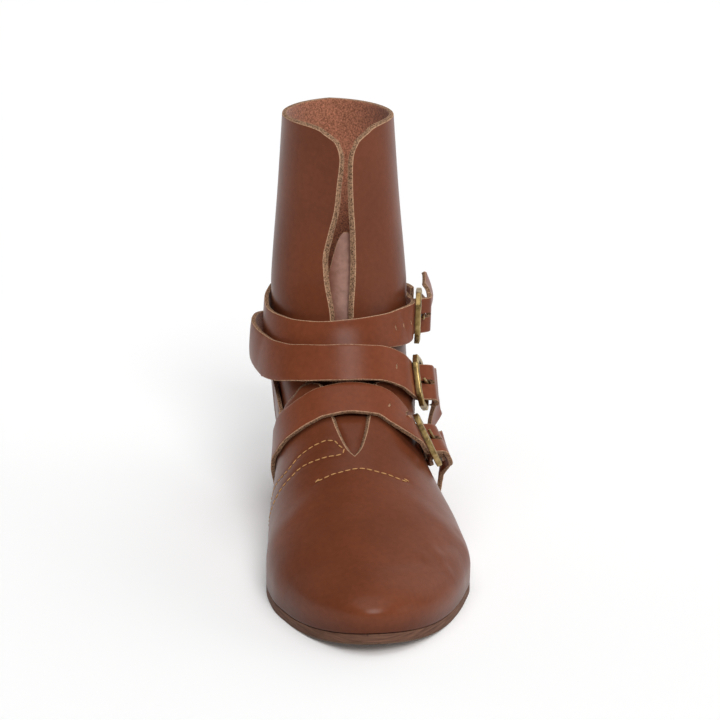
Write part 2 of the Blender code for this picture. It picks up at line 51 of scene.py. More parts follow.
# %% [markdown]
# ## The last
# A shoemaker stretches the leather over a last, a block with the shape of the foot. The boot's surface could
# be pushed and pulled by eye, but then the straps would not lie on it. Here the last is a pair of measures,
# the angle round the foot and the height, so that any piece can be laid on it, or a little way off it.
# The tables are the ones that the solid model is made from, in millimetres.

# %% Measures of the last
TOE_TO_ORIGIN = 150.0
SOLE_THICK = 5.0
TOE_SPRING = 7.0
SPRING_LENGTH = 45.0
LEATHER = 2.5
SEAT_GAP = 0.3
# height, distance behind the toe tip
FRONT_PROFILE = [
    (5, 2.6), (14, 1), (18, 2.6), (23, 7.5), (28, 16), (33, 29), (38, 45), (45, 66), (52, 84), (60, 105),
    (70, 123), (80, 140), (92, 158), (105, 172), (119, 184), (140, 192), (180, 196), (232, 196),
]
BACK_PROFILE = [(5, 283), (12, 285), (25, 288), (45, 287), (65, 282), (90, 277), (120, 275), (232, 275)]
# distance behind the toe tip, inner side, outer side
OUTLINE = [
    (0, 0, 0), (12, 21, 25), (28, 32.5, 37.5), (41, 39, 44.8), (62, 46.3, 53.3), (83, 48.6, 58.3),
    (105, 47, 57), (130, 45.5, 53), (160, 42, 47), (190, 37, 41.5), (220, 35, 37.5), (250, 33.5, 34.5),
    (290, 33.5, 34),
]
# height, half width of the leg
LEG = [(5, 38), (45, 40.5), (70, 41.2), (95, 40.8), (118, 39.8), (134, 38.9), (187, 34.4), (232, 31.2)]
WIDEST_HEIGHT = 14.0
TOE_TIP = 1.0
HEEL_ROUND = 36.0
INNER_FULLNESS, OUTER_FULLNESS = 2.4, 2.0
LEG_STARTS, LEG_ALONE = 28.0, 95.0
INSTEP_END = 196.0
NO_RIDGE = 400.0


def smooth(table, column, at):
    """One column of a table as a smooth curve over its first column, with no overshoot."""
    rows = np.array(table, float)
    x, y = rows[:, 0], rows[:, column]
    step = np.diff(x)
    rise = np.diff(y) / step
    slope = np.zeros_like(y)
    slope[0], slope[-1] = rise[0], rise[-1]
    before, after = rise[:-1], rise[1:]
    same_way = before * after > 0
    wb, wa = 2 * step[1:] + step[:-1], step[1:] + 2 * step[:-1]
    safe_before, safe_after = np.where(same_way, before, 1), np.where(same_way, after, 1)
    slope[1:-1] = np.where(same_way, (wb + wa) / (wb / safe_before + wa / safe_after), 0)
    at = np.clip(at, x[0], x[-1])
    i = np.clip(np.searchsorted(x, at) - 1, 0, len(x) - 2)
    t = (at - x[i]) / step[i]
    ends = (1 + 2 * t) * (1 - t) ** 2 * y[i] + t * t * (3 - 2 * t) * y[i + 1]
    return ends + step[i] * t * (1 - t) * ((1 - t) * slope[i] - t * slope[i + 1])


def ease(start, end, value):
    t = np.clip((value - start) / (end - start), 0, 1)
    return t * t * (3 - 2 * t)


def spring(distance):
    """How far the toe lifts off the ground."""
    return TOE_SPRING * np.clip(1 - distance / SPRING_LENGTH, 0, 1) ** 2


RIDGE_TOP, RIDGE_SAMPLES = 180, 800
RIDGE_HEIGHT = np.linspace(WIDEST_HEIGHT, RIDGE_TOP, RIDGE_SAMPLES)
RIDGE_AT = smooth(FRONT_PROFILE, 1, RIDGE_HEIGHT)
ROOT_OUTLINE = [(math.sqrt(distance), inner, outer) for distance, inner, outer in OUTLINE]


def last_point(angle, height):
    """A point on the last, from its angle round the foot and its height, both arrays."""
    angle = (angle + np.pi) % (2 * np.pi) - np.pi
    front, back = smooth(FRONT_PROFILE, 1, height), smooth(BACK_PROFILE, 1, height)
    distance = front + (back - front) * (1 - np.cos(angle)) / 2
    outer = angle >= 0
    from_tip = np.sqrt(np.maximum(distance - np.where(height < WIDEST_HEIGHT, front, TOE_TIP), 0))
    wide = np.where(outer, smooth(ROOT_OUTLINE, 2, from_tip), smooth(ROOT_OUTLINE, 1, from_tip))
    ridge = np.where(distance > INSTEP_END, NO_RIDGE, np.interp(distance, RIDGE_AT, RIDGE_HEIGHT))
    up = np.clip((height - WIDEST_HEIGHT) / np.maximum(ridge - WIDEST_HEIGHT, 0.01), 0, 1)
    arch = np.sqrt(1 - up ** np.where(outer, OUTER_FULLNESS, INNER_FULLNESS))
    from_heel = np.clip((back - distance) / HEEL_ROUND, 0, 1)
    heel = np.sqrt(1 - (1 - from_heel) ** 2)
    leg = smooth(LEG, 1, height) * np.abs(np.sin(angle))
    share = ease(LEG_STARTS, LEG_ALONE, height)
    half = wide * arch * heel * (1 - share) + leg * share
    return np.stack([np.where(outer, half, -half), distance - TOE_TO_ORIGIN, height + spring(distance)], -1)


def unit(arrow):
    return arrow / np.linalg.norm(arrow, axis=-1, keepdims=True)


def tangents(angle, height, turn, lift):
    """How a point on the last moves with its angle and its height, over a small turn and lift."""
    by_angle = (last_point(angle + turn, height) - last_point(angle - turn, height)) / (2 * turn)
    by_height = (last_point(angle, height + lift) - last_point(angle, height - lift)) / (2 * lift)
    return by_angle, by_height


def last_normal(angle, height):
    """The direction straight out of the last."""
    return unit(np.cross(*tangents(angle, height, turn=0.02, lift=0.4)))


def off_last(angle, height, out):
    """A point that stands off the last, or lies inside it where out is negative."""
    angle, height, out = np.broadcast_arrays(angle, height, out)
    return last_point(angle, height) + last_normal(angle, height) * out[..., None]


def walked(line):
    """Distance covered along a line of points, from its start."""
    return np.concatenate([[0], np.cumsum(np.linalg.norm(np.diff(line, axis=0), axis=1))])


tip = last_point(np.array([0.0]), np.array([WIDEST_HEIGHT]))[0]
print("toe tip at", np.round(tip, 1), "mm")

# %% [markdown]
# ## Finishes
# A finish is a small graph of nodes. Smooth leather has clouds of slightly different dye, a fine grain that
# only shows in the highlight, and an even soft gloss. Its cut edge is raw: pale and dark fibres side by side.
# The flesh side is a rough nap. Old brass is bright where hands rub it and dark in the hollows. All patterns
# read the object's own coordinates in metres, so a scale of 1000 gives features of about a millimetre.

# %% Node helpers


def fill(tree, node, sockets):
    """Sets or links the sockets of a node."""
    for key, value in sockets.items():
        if isinstance(value, bpy.types.NodeSocket):
            tree.links.new(value, node.inputs[key])
        else:
            node.inputs[key].default_value = value
    return node


def put(tree, kind, sockets, **settings):
    """Adds a node, with values or links for its sockets."""
    made = tree.nodes.new(kind)
    for key, value in settings.items():
        setattr(made, key, value)
    return fill(tree, made, sockets)


def spots(tree, where, scale, detail=3.0, rough=0.5):
    sockets = {"Vector": where, "Scale": scale, "Detail": detail, "Roughness": rough}
    return put(tree, "ShaderNodeTexNoise", sockets).outputs[0]


def stretched(tree, where, scale):
    return put(tree, "ShaderNodeMapping", {"Vector": where, "Scale": scale}).outputs[0]


def shade(tree, value, *stops):
    """Turns a value into a colour by a row of stops."""
    ramp = put(tree, "ShaderNodeValToRGB", {"Fac": value})
    marks = ramp.color_ramp.elements
    while len(marks) < len(stops):
        marks.new(0.5)
    for mark, (place, colour) in zip(marks, stops):
        mark.position = place
        mark.color = (*colour, 1)
    return ramp.outputs[0]


def span(tree, value, low, high, start=0.0, end=1.0):
    sockets = {"Value": value, "From Min": start, "From Max": end, "To Min": low, "To Max": high}
    return put(tree, "ShaderNodeMapRange", sockets).outputs[0]


def blend(tree, share, first, second, how="MIX"):
    sockets = {0: share, 6: first, 7: second}
    return put(tree, "ShaderNodeMix", sockets, data_type="RGBA", blend_type=how).outputs[2]


def bump(tree, height, strength, depth_mm, **after):
    sockets = {"Height": height, "Strength": strength, "Distance": depth_mm * MM, **after}
    return put(tree, "ShaderNodeBump", sockets).outputs[0]


def stored(tree, name):
    """A value that is stored at each point of a piece."""
    return put(tree, "ShaderNodeAttribute", {}, attribute_name=name).outputs["Fac"]


def start_finish(name):
    """A new material, its graph and the piece's own coordinates."""
    material = bpy.data.materials.new(name)
    material.use_nodes = True
    tree = material.node_tree
    return material, tree, put(tree, "ShaderNodeTexCoord", {}).outputs["Object"]


def end_finish(material, sockets):
    tree = material.node_tree
    fill(tree, tree.nodes["Principled BSDF"], sockets)
    return material


print("node helpers ready")

# %% Leather, cut edges and nap
# Pale greyish colour of a painted sheen, a highlight painted into the tongue's colour.
PAINTED_SHEEN = 0.42, 0.24, 0.19
PAINTED_SHEEN_DARK = [0.75 * x for x in PAINTED_SHEEN]
# Darkness of the painted shadow under the straps and of the leather towards the sole.
SHADOW_AND_FOOT_TONE = 0.42
GLOSS_SPREAD = 0.06
LIGHTER = 1.25
# How fine the patterns are, per metre.
DYE_CLOUDS, GLOSS_CLOUDS, SHEEN_SPOTS, MOTTLE = 22, 55, 300, 380
PORES, FINE_GRAIN, FOLDS = 1150.0, 2400, (130, 130, 420)
NAP_FIBRES, EDGE_FIBRES = 1000, 1150


def smooth_leather(name, dark, light, gloss):
    material, tree, where = start_finish(name)
    dye = shade(tree, spots(tree, where, DYE_CLOUDS), (0.32, dark), (0.68, light))
    cloudy = spots(tree, where, MOTTLE, 4)
    mottle = shade(tree, cloudy, (0.3, (0.90, 0.90, 0.90)), (0.7, (1.06, 1.05, 1.04)))
    coloured = blend(tree, 1.0, dye, mottle, "MULTIPLY")
    # Where the stored value is high, the colour goes towards a darker brown: painted shadow under the straps,
    # and darker leather towards the sole.
    darker = blend(tree, stored(tree, "painted_shadow_and_foot_dark"), coloured, (*[x * SHADOW_AND_FOOT_TONE for x in dark], 1))
    # Painted sheen: where the stored value is high, the colour turns to a pale, greyish, spotted brown.
    sheen_tone = shade(tree, spots(tree, where, SHEEN_SPOTS, 4), (0.36, PAINTED_SHEEN_DARK), (0.64, PAINTED_SHEEN))
    pores = put(tree, "ShaderNodeTexVoronoi", {"Vector": where, "Scale": PORES}).outputs["Distance"]
    grain = bump(tree, pores, 0.10, 0.18)
    fine = bump(tree, spots(tree, where, FINE_GRAIN), 0.10, 0.12, Normal=grain)
    folds = spots(tree, stretched(tree, where, FOLDS), 1.0, 4, 0.6)
    return end_finish(material, {
        "Base Color": blend(tree, stored(tree, "painted_sheen"), darker, sheen_tone),
        "Roughness": span(
            tree, spots(tree, where, GLOSS_CLOUDS), gloss - GLOSS_SPREAD, gloss + GLOSS_SPREAD),
        "Normal": bump(tree, folds, 0.10, 0.6, Normal=fine), "Specular IOR Level": 0.15})


def fibres(name, scale, stops, strength, depth, sockets):
    """A raw surface of pale and dark fibres."""
    material, tree, where = start_finish(name)
    fibre = spots(tree, where, scale, 5, 0.7)
    return end_finish(material, {
        "Base Color": shade(tree, fibre, *stops), "Normal": bump(tree, fibre, strength, depth), **sockets})


def raw_edge(name, dark, pale):
    stops = (0.40, dark), (0.54, pale), (0.68, [LIGHTER * x for x in pale])
    return fibres(name, EDGE_FIBRES, stops, 0.6, 0.5, {"Roughness": 0.92, "Specular IOR Level": 0.2})


def nap(name, dark, pale):
    soft = {"Roughness": 0.95, "Specular IOR Level": 0.15, "Sheen Weight": 0.25, "Sheen Roughness": 0.5}
    return fibres(name, NAP_FIBRES, ((0.34, dark), (0.66, pale)), 0.7, 0.6, soft)


UPPER_LEATHER = smooth_leather("upper_leather", (0.130, 0.035, 0.0148), (0.172, 0.047, 0.0198), 0.33)
STRAP_LEATHER = smooth_leather("strap_leather", (0.165, 0.043, 0.0178), (0.208, 0.056, 0.0240), 0.36)
CUT_EDGE = raw_edge("cut_edge", (0.07, 0.036, 0.02), (0.34, 0.195, 0.115))
EDGE_LINE = raw_edge("edge_line", (0.26, 0.145, 0.085), (0.50, 0.30, 0.185))
FLESH_SIDE = nap("flesh_side", (0.20, 0.078, 0.044), (0.74, 0.31, 0.182))
# face, back, cut rim, broken edge
UPPER_FINISHES = UPPER_LEATHER, FLESH_SIDE, CUT_EDGE, EDGE_LINE
STRAP_FINISHES = STRAP_LEATHER, *UPPER_FINISHES[1:]
print("leather finishes", [x.name for x in UPPER_FINISHES + STRAP_FINISHES[:1]])

# %% Sole, brass and thread
SOLE_DARK, SOLE_PALE = (0.080, 0.036, 0.023), (0.185, 0.090, 0.056)
GROUND_PALE, GROUND_GREY = (0.15, 0.088, 0.056), (0.085, 0.047, 0.032)
BRASS_DARK, BRASS, BRASS_PALE = (0.075, 0.050, 0.022), (0.30, 0.205, 0.080), (0.50, 0.36, 0.15)
THREAD_DARK, THREAD_PALE = (0.42, 0.20, 0.060), (0.62, 0.34, 0.125)
SOLE_LAYERS, STAINS, CAST_GRAIN, STRANDS = (90, 90, 1400), 240, 700, 1800


def sole_leather():
    material, tree, where = start_finish("sole_leather")
    level = stored(tree, "level")
    layers = spots(tree, stretched(tree, where, SOLE_LAYERS), 1.0, 4)
    brown = shade(tree, layers, (0.3, SOLE_DARK), (0.7, SOLE_PALE))
    edge = shade(tree, level, (0.0, GROUND_PALE), (0.16, GROUND_GREY), (0.24, SOLE_DARK))
    share = shade(tree, level, (0.10, (0.8, 0.8, 0.8)), (0.24, (0, 0, 0)))
    return end_finish(material, {
        "Base Color": blend(tree, share, brown, edge), "Normal": bump(tree, layers, 0.35, 0.5),
        "Roughness": 0.7, "Specular IOR Level": 0.2})


def old_brass():
    material, tree, where = start_finish("old_brass")
    stain = spots(tree, where, STAINS, 5, 0.6)
    return end_finish(material, {
        "Base Color": shade(tree, stain, (0.30, BRASS_DARK), (0.46, BRASS), (0.7, BRASS_PALE)),
        "Roughness": span(tree, stain, 0.55, 0.22),
        "Normal": bump(tree, spots(tree, where, CAST_GRAIN, 4), 0.25, 0.3), "Metallic": 1.0})


def waxed_thread():
    material, tree, where = start_finish("waxed_thread")
    strands = spots(tree, where, STRANDS)
    return end_finish(material, {
        "Base Color": shade(tree, strands, (0.3, THREAD_DARK), (0.7, THREAD_PALE)),
        "Normal": bump(tree, strands, 0.4, 0.3), "Roughness": 0.7})


SOLE_LEATHER = sole_leather()
OLD_BRASS = old_brass()
THREAD = waxed_thread()
print("other finishes", SOLE_LEATHER.name, OLD_BRASS.name, THREAD.name)

# %% [markdown]
# ## Camera, floor and light
# The view is a little above the boot, from the front, through a long lens, so that the shaft does not narrow
# much. The light is a studio's: one wide soft source in front, one overhead, and weaker ones at the sides.
# The room is dim except for a white backdrop and a pale panel, which whiten the leather only where it turns
# away from the view. Soft suns are used, since a lamp that stands near would leave the far floor grey.

# %% Camera
VIEW_AZIMUTH, VIEW_ELEVATION = -4.6, 16.0
VIEW_DISTANCE, VIEW_LENS, VIEW_SENSOR = 1.1146, 103, 36
VIEW_AIM = Vector((0.0057, 0.0, 0.1074))


def direction(azimuth, elevation):
    """The way out from the boot at two angles in degrees, where 0, 0 is straight ahead of the toe."""
    turn, lift = math.radians(azimuth), math.radians(elevation)
    return Vector((math.sin(turn) * math.cos(lift), -math.cos(turn) * math.cos(lift), math.sin(lift)))


def face_boot(made, outwards):
    made.rotation_euler = (-outwards).to_track_quat("-Z", "Y").to_euler()


backwards = direction(VIEW_AZIMUTH, VIEW_ELEVATION)
bpy.ops.object.camera_add(location=VIEW_AIM + backwards * VIEW_DISTANCE)
camera = bpy.context.object
face_boot(camera, backwards)
camera.data.lens = VIEW_LENS
camera.data.sensor_width = VIEW_SENSOR
bpy.context.scene.camera = camera
print("camera at", [round(x, 3) for x in camera.location])

# %% Floor and light
FLOOR_SIZE, LAMP_DISTANCE = 80, 2
FLOOR_WHITE, WHITE = (0.97, 0.97, 0.97, 1), (1, 1, 1, 1)
bpy.ops.mesh.primitive_plane_add(size=FLOOR_SIZE)
floor = bpy.context.object
floor.name = "floor"
floor_paint = bpy.data.materials.new("floor_paint")
floor_paint.use_nodes = True
floor.data.materials.append(end_finish(floor_paint, {
    "Base Color": FLOOR_WHITE, "Emission Color": WHITE, "Emission Strength": 0.05, "Roughness": 0.9,
    "Specular IOR Level": 0.1}))

# name, azimuth and elevation it shines from, how wide it looks, all in degrees, and its strength
SOFT_LIGHTS = [
    ("front", 8, 40, 24, 1.65), ("top", 10, 78, 60, 1.3), ("right", 76, 16, 36, 0.45),
    ("left", -70, 40, 60, 0.03),
]
for label, azimuth, elevation, spread, strength in SOFT_LIGHTS:
    towards = direction(azimuth, elevation)
    bpy.ops.object.light_add(type="SUN", location=LAMP_DISTANCE * towards)
    lamp = bpy.context.object
    lamp.name = "light_" + label
    face_boot(lamp, towards)
    lamp.data.angle = math.radians(spread)
    lamp.data.energy = strength

# The backdrop is behind the boot and low, and the panel stands behind it on the right.
BACKDROP_BEHIND, BACKDROP_LOW = (0.35, 0.8), (0.65, 0.35)
ROOM_DIM, BACKDROP_BRIGHT = 0.05, 1.0
PANEL_AT, PANEL_FADE, PANEL_BRIGHT = (0.62, 0.55, 0.55), (0.74, 0.97), 0.6
room = bpy.data.worlds.new("room")
room.use_nodes = True
sky = room.node_tree
way = put(sky, "ShaderNodeTexCoord", {}).outputs["Generated"]
split = put(sky, "ShaderNodeSeparateXYZ", {0: way}).outputs
behind, low = span(sky, split["Y"], 0, 1, *BACKDROP_BEHIND), span(sky, split["Z"], 0, 1, *BACKDROP_LOW)
backdrop = put(sky, "ShaderNodeMath", {0: behind, 1: low}, operation="MULTIPLY").outputs[0]
to_panel = put(sky, "ShaderNodeVectorMath", {0: way, 1: PANEL_AT}, operation="DOT_PRODUCT").outputs["Value"]
panel = span(sky, to_panel, 0, PANEL_BRIGHT, *PANEL_FADE)
bright = put(sky, "ShaderNodeMath", {0: span(sky, backdrop, ROOM_DIM, BACKDROP_BRIGHT), 1: panel}).outputs[0]
fill(sky, sky.nodes["Background"], {"Color": WHITE, "Strength": bright})
bpy.context.scene.world = room
bpy.context.scene.view_settings.view_transform = "Standard"
print("lights", [row[0] for row in SOFT_LIGHTS])

# %% [markdown]
# ## Helpers for leather
# Every leather piece starts as a flat grid, as a hide is a flat sheet. Its points are moved to their place on
# the last, the seam is merged, and a Solidify modifier gives the leather its thickness. Solidify can give the
# flesh side and the cut rim their own finish, which is how the raw edges show. A small Bevel breaks the edge.

# %% Grid, wall and hand-over
MERGED = 0.002
EDGE_SLOT = 3
# Which way a wall grows from its laid sheet, and how wide its edge is broken.
INWARDS, BOTH_WAYS, OUTWARDS = -1, 0, 1
BROKEN_EDGE = 0.3
SHARP_FROM, SMOOTH_BELOW = math.radians(50), math.radians(38)


def only(piece):
    bpy.ops.object.select_all(action="DESELECT")
    piece.select_set(True)
    bpy.context.view_layer.objects.active = piece


@contextmanager
def editing(piece):
    """Edit mode, with the whole piece selected."""
    only(piece)
    bpy.ops.object.mode_set(mode="EDIT")
    bpy.ops.mesh.select_all(action="SELECT")
    yield
    bpy.ops.object.mode_set(mode="OBJECT")


def finish_with(piece, kind, **settings):
    """Adds a modifier and applies it at once."""
    only(piece)
    modifier = piece.modifiers.new(kind.title(), kind)
    for key, value in settings.items():
        setattr(modifier, key, value)
    bpy.ops.object.modifier_apply(modifier=modifier.name)


def get_points(piece):
    flat = np.empty(len(piece.data.vertices) * 3)
    piece.data.vertices.foreach_get("co", flat)
    return flat.reshape(-1, 3)


def set_points(piece, points):
    piece.data.vertices.foreach_set("co", np.asarray(points, float).ravel())
    piece.data.update()


def dress(piece, *finishes):
    for finish in finishes:
        piece.data.materials.append(finish)


def lay_grid(name, points, slant):
    """A flat grid whose columns and rows are moved to the points, given in millimetres."""
    columns, rows = points.shape[:2]
    bpy.ops.mesh.primitive_grid_add(x_subdivisions=columns - 1, y_subdivisions=rows - 1, size=1)
    piece = bpy.context.object
    piece.name = piece.data.name = name
    flat = get_points(piece)
    column = np.rint((flat[:, 0] + 0.5) * (columns - 1)).astype(int)
    row = np.rint((flat[:, 1] + 0.5) * (rows - 1)).astype(int)
    set_points(piece, points[column, row] * MM)
    if slant is not None:
        layer = piece.data.attributes.new("slant", "FLOAT_VECTOR", "POINT")
        layer.data.foreach_set("vector", np.asarray(slant[column, row], np.float32).ravel())
    with editing(piece):
        bpy.ops.mesh.remove_doubles(threshold=MERGED * MM)
    return piece


def note(piece, name, values):
    """Stores a value at each point, for the finish to read."""
    layer = piece.data.attributes.new(name, "FLOAT", "POINT")
    layer.data.foreach_set("value", np.asarray(values, np.float32))


def make_wall(name, points, finishes, thickness, grows, broken_edge=BROKEN_EDGE, slant=None):
    """A sheet of leather with its wall. A slant moves the hidden face, so that the cut rim shows."""
    piece = lay_grid(name, points, slant)
    dress(piece, *finishes)
    outside = len(piece.data.vertices)
    finish_with(piece, "SOLIDIFY", thickness=thickness * MM, offset=grows, material_offset=1,
                material_offset_rim=2)
    layer = piece.data.attributes.get("slant")
    if layer:
        points = get_points(piece)
        slant = np.empty(points.size, np.float32)
        layer.data.foreach_get("vector", slant)
        points[outside:] += slant.reshape(-1, 3)[outside:] * MM
        set_points(piece, points)
        piece.data.attributes.remove(layer)
    finish_with(piece, "BEVEL", width=broken_edge * MM, segments=2, limit_method="ANGLE",
                angle_limit=SHARP_FROM, use_clamp_overlap=False, material=EDGE_SLOT)
    return piece


def hand_over(piece, node=None):
    """Smooth shading, then the piece rides on the boot and stands for its solid."""
    only(piece)
    bpy.ops.object.shade_smooth_by_angle(angle=SMOOTH_BELOW)
    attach(piece, "root")
    if node:
        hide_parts(node)
    piece.data.calc_loop_triangles()
    print(piece.name, len(piece.data.loop_triangles), "triangles")


def axes_at(place, *axes):
    """A matrix for three axes at a place in millimetres."""
    return Matrix.Translation(Vector(place) * MM) @ Matrix(axes).transposed().to_4x4()


print("leather helpers ready")

# %% [markdown]
# ## Outsole and insole
# The sole is one flat piece of thick dark leather, cut flush with the upper, with a little lift at the toe.
# It could be extruded from an outline, but then the toe would not lift, so ribs are laid across the last from
# its inner to its outer side, and Solidify adds the thickness. The insole is a thinner copy inside the walls.

# %% Soles
SOLE_STATIONS, SOLE_RIBS = 150, 14
INSOLE_THICK = 2.0
SOLE_BROKEN, INSOLE_BROKEN = 0.5, 0.4


def sole_plate(height, inset):
    station = np.linspace(0, np.pi, SOLE_STATIONS + 1)
    level = np.full_like(station, height)
    inner, outer = off_last(-station, level, -inset), off_last(station, level, -inset)
    rib = np.linspace(0, 1, SOLE_RIBS + 1)
    points = inner[:, None] + (outer - inner)[:, None] * rib[None, :, None]
    points[..., 2] = height + spring(points[..., 1] + TOE_TO_ORIGIN)
    return points


def off_ground(piece):
    """The height of each point over the underside of the sole."""
    points = get_points(piece) / MM
    return points[:, 2] - spring(points[:, 1] + TOE_TO_ORIGIN)


plate = sole_plate(SOLE_THICK, 0.0)
outsole = make_wall("outsole_leather", plate, [SOLE_LEATHER] * 3, SOLE_THICK, OUTWARDS, SOLE_BROKEN)
note(outsole, "level", off_ground(outsole) / SOLE_THICK)
hand_over(outsole, "outsole")

plate = sole_plate(SOLE_THICK + SEAT_GAP, LEATHER + 2 * SEAT_GAP)
nappy = FLESH_SIDE, FLESH_SIDE, CUT_EDGE
insole = make_wall("insole_leather", plate, nappy, INSOLE_THICK, INWARDS, INSOLE_BROKEN)
hand_over(insole, "insole")

# %% [markdown]
# ## Lines on the leather
# Stitch rows and straps are lines on the last. A line is a table of angles and heights, turned into a smooth
# path that is measured in millimetres. A path could be a curve object, but a path in numbers can also press
# the leather in along a stitch row, which is what pulls a real seam down between its stitches.

# %% Paths over the last
ROUTE_SAMPLES = 1200


class Route:
    """A line over the last, measured in millimetres from its start."""

    def __init__(self, table):
        rows = np.array(table, float)
        chord = walked(last_point(np.radians(rows[:, 0]), rows[:, 1]))
        self.by_chord = np.column_stack([chord, np.radians(rows[:, 0]), rows[:, 1:]])
        self.fine = np.linspace(0, chord[-1], ROUTE_SAMPLES)
        line = last_point(smooth(self.by_chord, 1, self.fine), smooth(self.by_chord, 2, self.fine))
        self.walked = walked(line)
        self.length = self.walked[-1]

    def read(self, along, *columns):
        chord = np.interp(along, self.walked, self.fine)
        return [smooth(self.by_chord, column, chord) for column in columns]

    def on_last(self, along):
        return self.read(along, 1, 2)

    def where(self, angle):
        """The distance along at which the route passes an angle, in degrees."""
        chord = np.interp(-np.radians(angle), -self.by_chord[:, 1], self.by_chord[:, 0])
        return float(np.interp(chord, self.fine, self.walked))

    def point(self, along, across, out):
        """A point across the line, in steps on the last, then straight out from it."""
        along, across, out = np.broadcast_arrays(np.asarray(along, float), across, out)
        angle, height = self.on_last(along)
        ahead, behind = self.on_last(along + 1.0), self.on_last(along - 1.0)
        travel = last_point(*ahead) - last_point(*behind)
        side = unit(np.cross(travel, last_normal(angle, height)))
        by_angle, by_height = tangents(angle, height, turn=0.01, lift=0.2)
        aa, hh = (by_angle ** 2).sum(-1), (by_height ** 2).sum(-1)
        ah = (by_angle * by_height).sum(-1)
        sa, sh = (side * by_angle).sum(-1), (side * by_height).sum(-1)
        spread = aa * hh - ah * ah
        d_angle, d_height = (sa * hh - sh * ah) / spread, (sh * aa - sa * ah) / spread
        return off_last(angle + d_angle * across, height + d_height * across, out)


def nearest(points, line):
    """Distance from each point to the nearest point of a line."""
    best = np.full(len(points), np.inf)
    for mark in line:
        best = np.minimum(best, ((points - mark) ** 2).sum(1))
    return np.sqrt(best)


# angle, height
TONGUE_STITCH = [(-28.2, 55), (-13.5, 58.8), (2, 60.6), (17.2, 58.2), (34.2, 53.2)]
SEAM = [
    (-92, 9), (-90.5, 18), (-86, 28), (-78, 36.5), (-69, 43.6), (-60, 49.4), (-49.5, 55.8), (-37.5, 62.8),
    (-26.8, 67.6), (-18.6, 69.8), (-14.4, 70), (-10.6, 68.6), (-7.2, 66.9), (-8.4, 65.8), (-19.2, 63.8),
    (-30, 60.8), (-41.2, 56.6), (-52, 50.6), (-60.4, 44.6), (-68.5, 38), (-76, 31), (-82, 24), (-86, 16),
    (-88, 9),
]
TACK_INNER = [(-30.4, 53.9), (-25, 56.6)]
TACK_OUTER = [(31.6, 54.7), (35.6, 52.9)]
NOTCH_STITCH = [(-65.5, 70.4), (-69, 69.2), (-72.4, 70.6)]
STITCH_ROWS = {name: Route(table) for name, table in [
    ("tongue", TONGUE_STITCH), ("tack_inner", TACK_INNER), ("tack_outer", TACK_OUTER), ("seam", SEAM),
    ("notch", NOTCH_STITCH)]}
print("stitch rows, mm:", {name: round(row.length, 1) for name, row in STITCH_ROWS.items()})

# %% [markdown]
# ## Low shoe
# The low shoe is one hollow wall of leather, open underneath, with a V throat in front, a notch on the inner
# side and a top line that dips under the ankle straps. It could be sculpted, but a grid round the last keeps
# the wall even: each column runs up from the sole to the top line in equal steps. The stitch rows are then
# pressed in, and a few shallow creases are placed where the toes bend the leather.

# %% Low shoe
UPPER_COLUMNS, UPPER_ROWS = 360, 104
THROAT_CROWD = 0.2
LINE_SAMPLES = 160
# Top line of the low shoe on each side, from the V throat to the heel.
# angle from the toe, height
THROAT = [(0, 64.8), (5, 67.4), (9.5, 71.6), (12.5, 75.2), (15, 79.2), (24, 91)]
TOP_INNER = THROAT + [
    (36, 88.8), (47, 82.8), (58, 77), (69, 70.4), (75, 79), (80, 84.4), (100, 84), (130, 87), (180, 92),
]
TOP_OUTER = THROAT + [(36, 90), (60, 84), (80, 80), (105, 80), (130, 84), (180, 92)]
# How far the cut slants along the top line, so that its rim shows: angle, slant
TOP_SLANT = [
    (-180, 0), (-90, -0.5), (-84, -1.5), (-73, -1.5), (-69, 0.3), (-66.5, 2), (-62, 4.3), (-40, 4),
    (-24, 1.8), (-3, 1.5), (24, 1.5), (60, 0), (180, 0),
]
SLANT_ROWS = 12
STITCH_PRESS, STITCH_PRESS_WIDE, STITCH_SAMPLE = 0.30, 1.2, 0.6
# How a crease swells beside its hollow, how fast it fades down the sides, and how many points measure it.
SWELL, SWELL_AT, CREASE_FADE, CREASE_SAMPLES = 0.45, 2.1, 3, 60
# points (side, distance behind the toe tip), depth, half width
CREASES = [
    ([(-5, 28), (5, 32), (17, 36), (27, 43)], 0.16, 3.0),
    ([(-34, 78), (-20, 86), (-2, 90), (14, 89), (30, 83), (44, 72)], 0.12, 5.0),
    ([(-38, 94), (-22, 101), (-4, 104), (16, 102), (36, 95), (48, 86)], 0.10, 4.5),
    ([(40, 60), (48, 70), (52, 82)], 0.30, 3.0),
    ([(44, 52), (51, 64), (54, 74)], 0.22, 2.4),
]


def top_line(angle):
    turned = np.degrees(np.abs(angle))
    return np.where(angle < 0, smooth(TOP_INNER, 1, turned), smooth(TOP_OUTER, 1, turned))


def column_heights(angle, foot, top, rows):
    """Heights along one column of the last, at equal steps of its length."""
    heights = np.linspace(foot, top, LINE_SAMPLES)
    gone = walked(last_point(np.full_like(heights, angle), heights))
    return np.interp(np.linspace(0, gone[-1], rows), gone, heights)


def plan_crease(points, line):
    """How far each point lies from a crease drawn on the plan of the vamp."""
    line = np.array(line, float)
    steps = np.linspace(0, len(line) - 1, CREASE_SAMPLES)
    marks = np.column_stack([np.interp(steps, np.arange(len(line)), line[:, i]) for i in (0, 1)])
    return nearest(points[:, :2] + [0, TOE_TO_ORIGIN], marks)


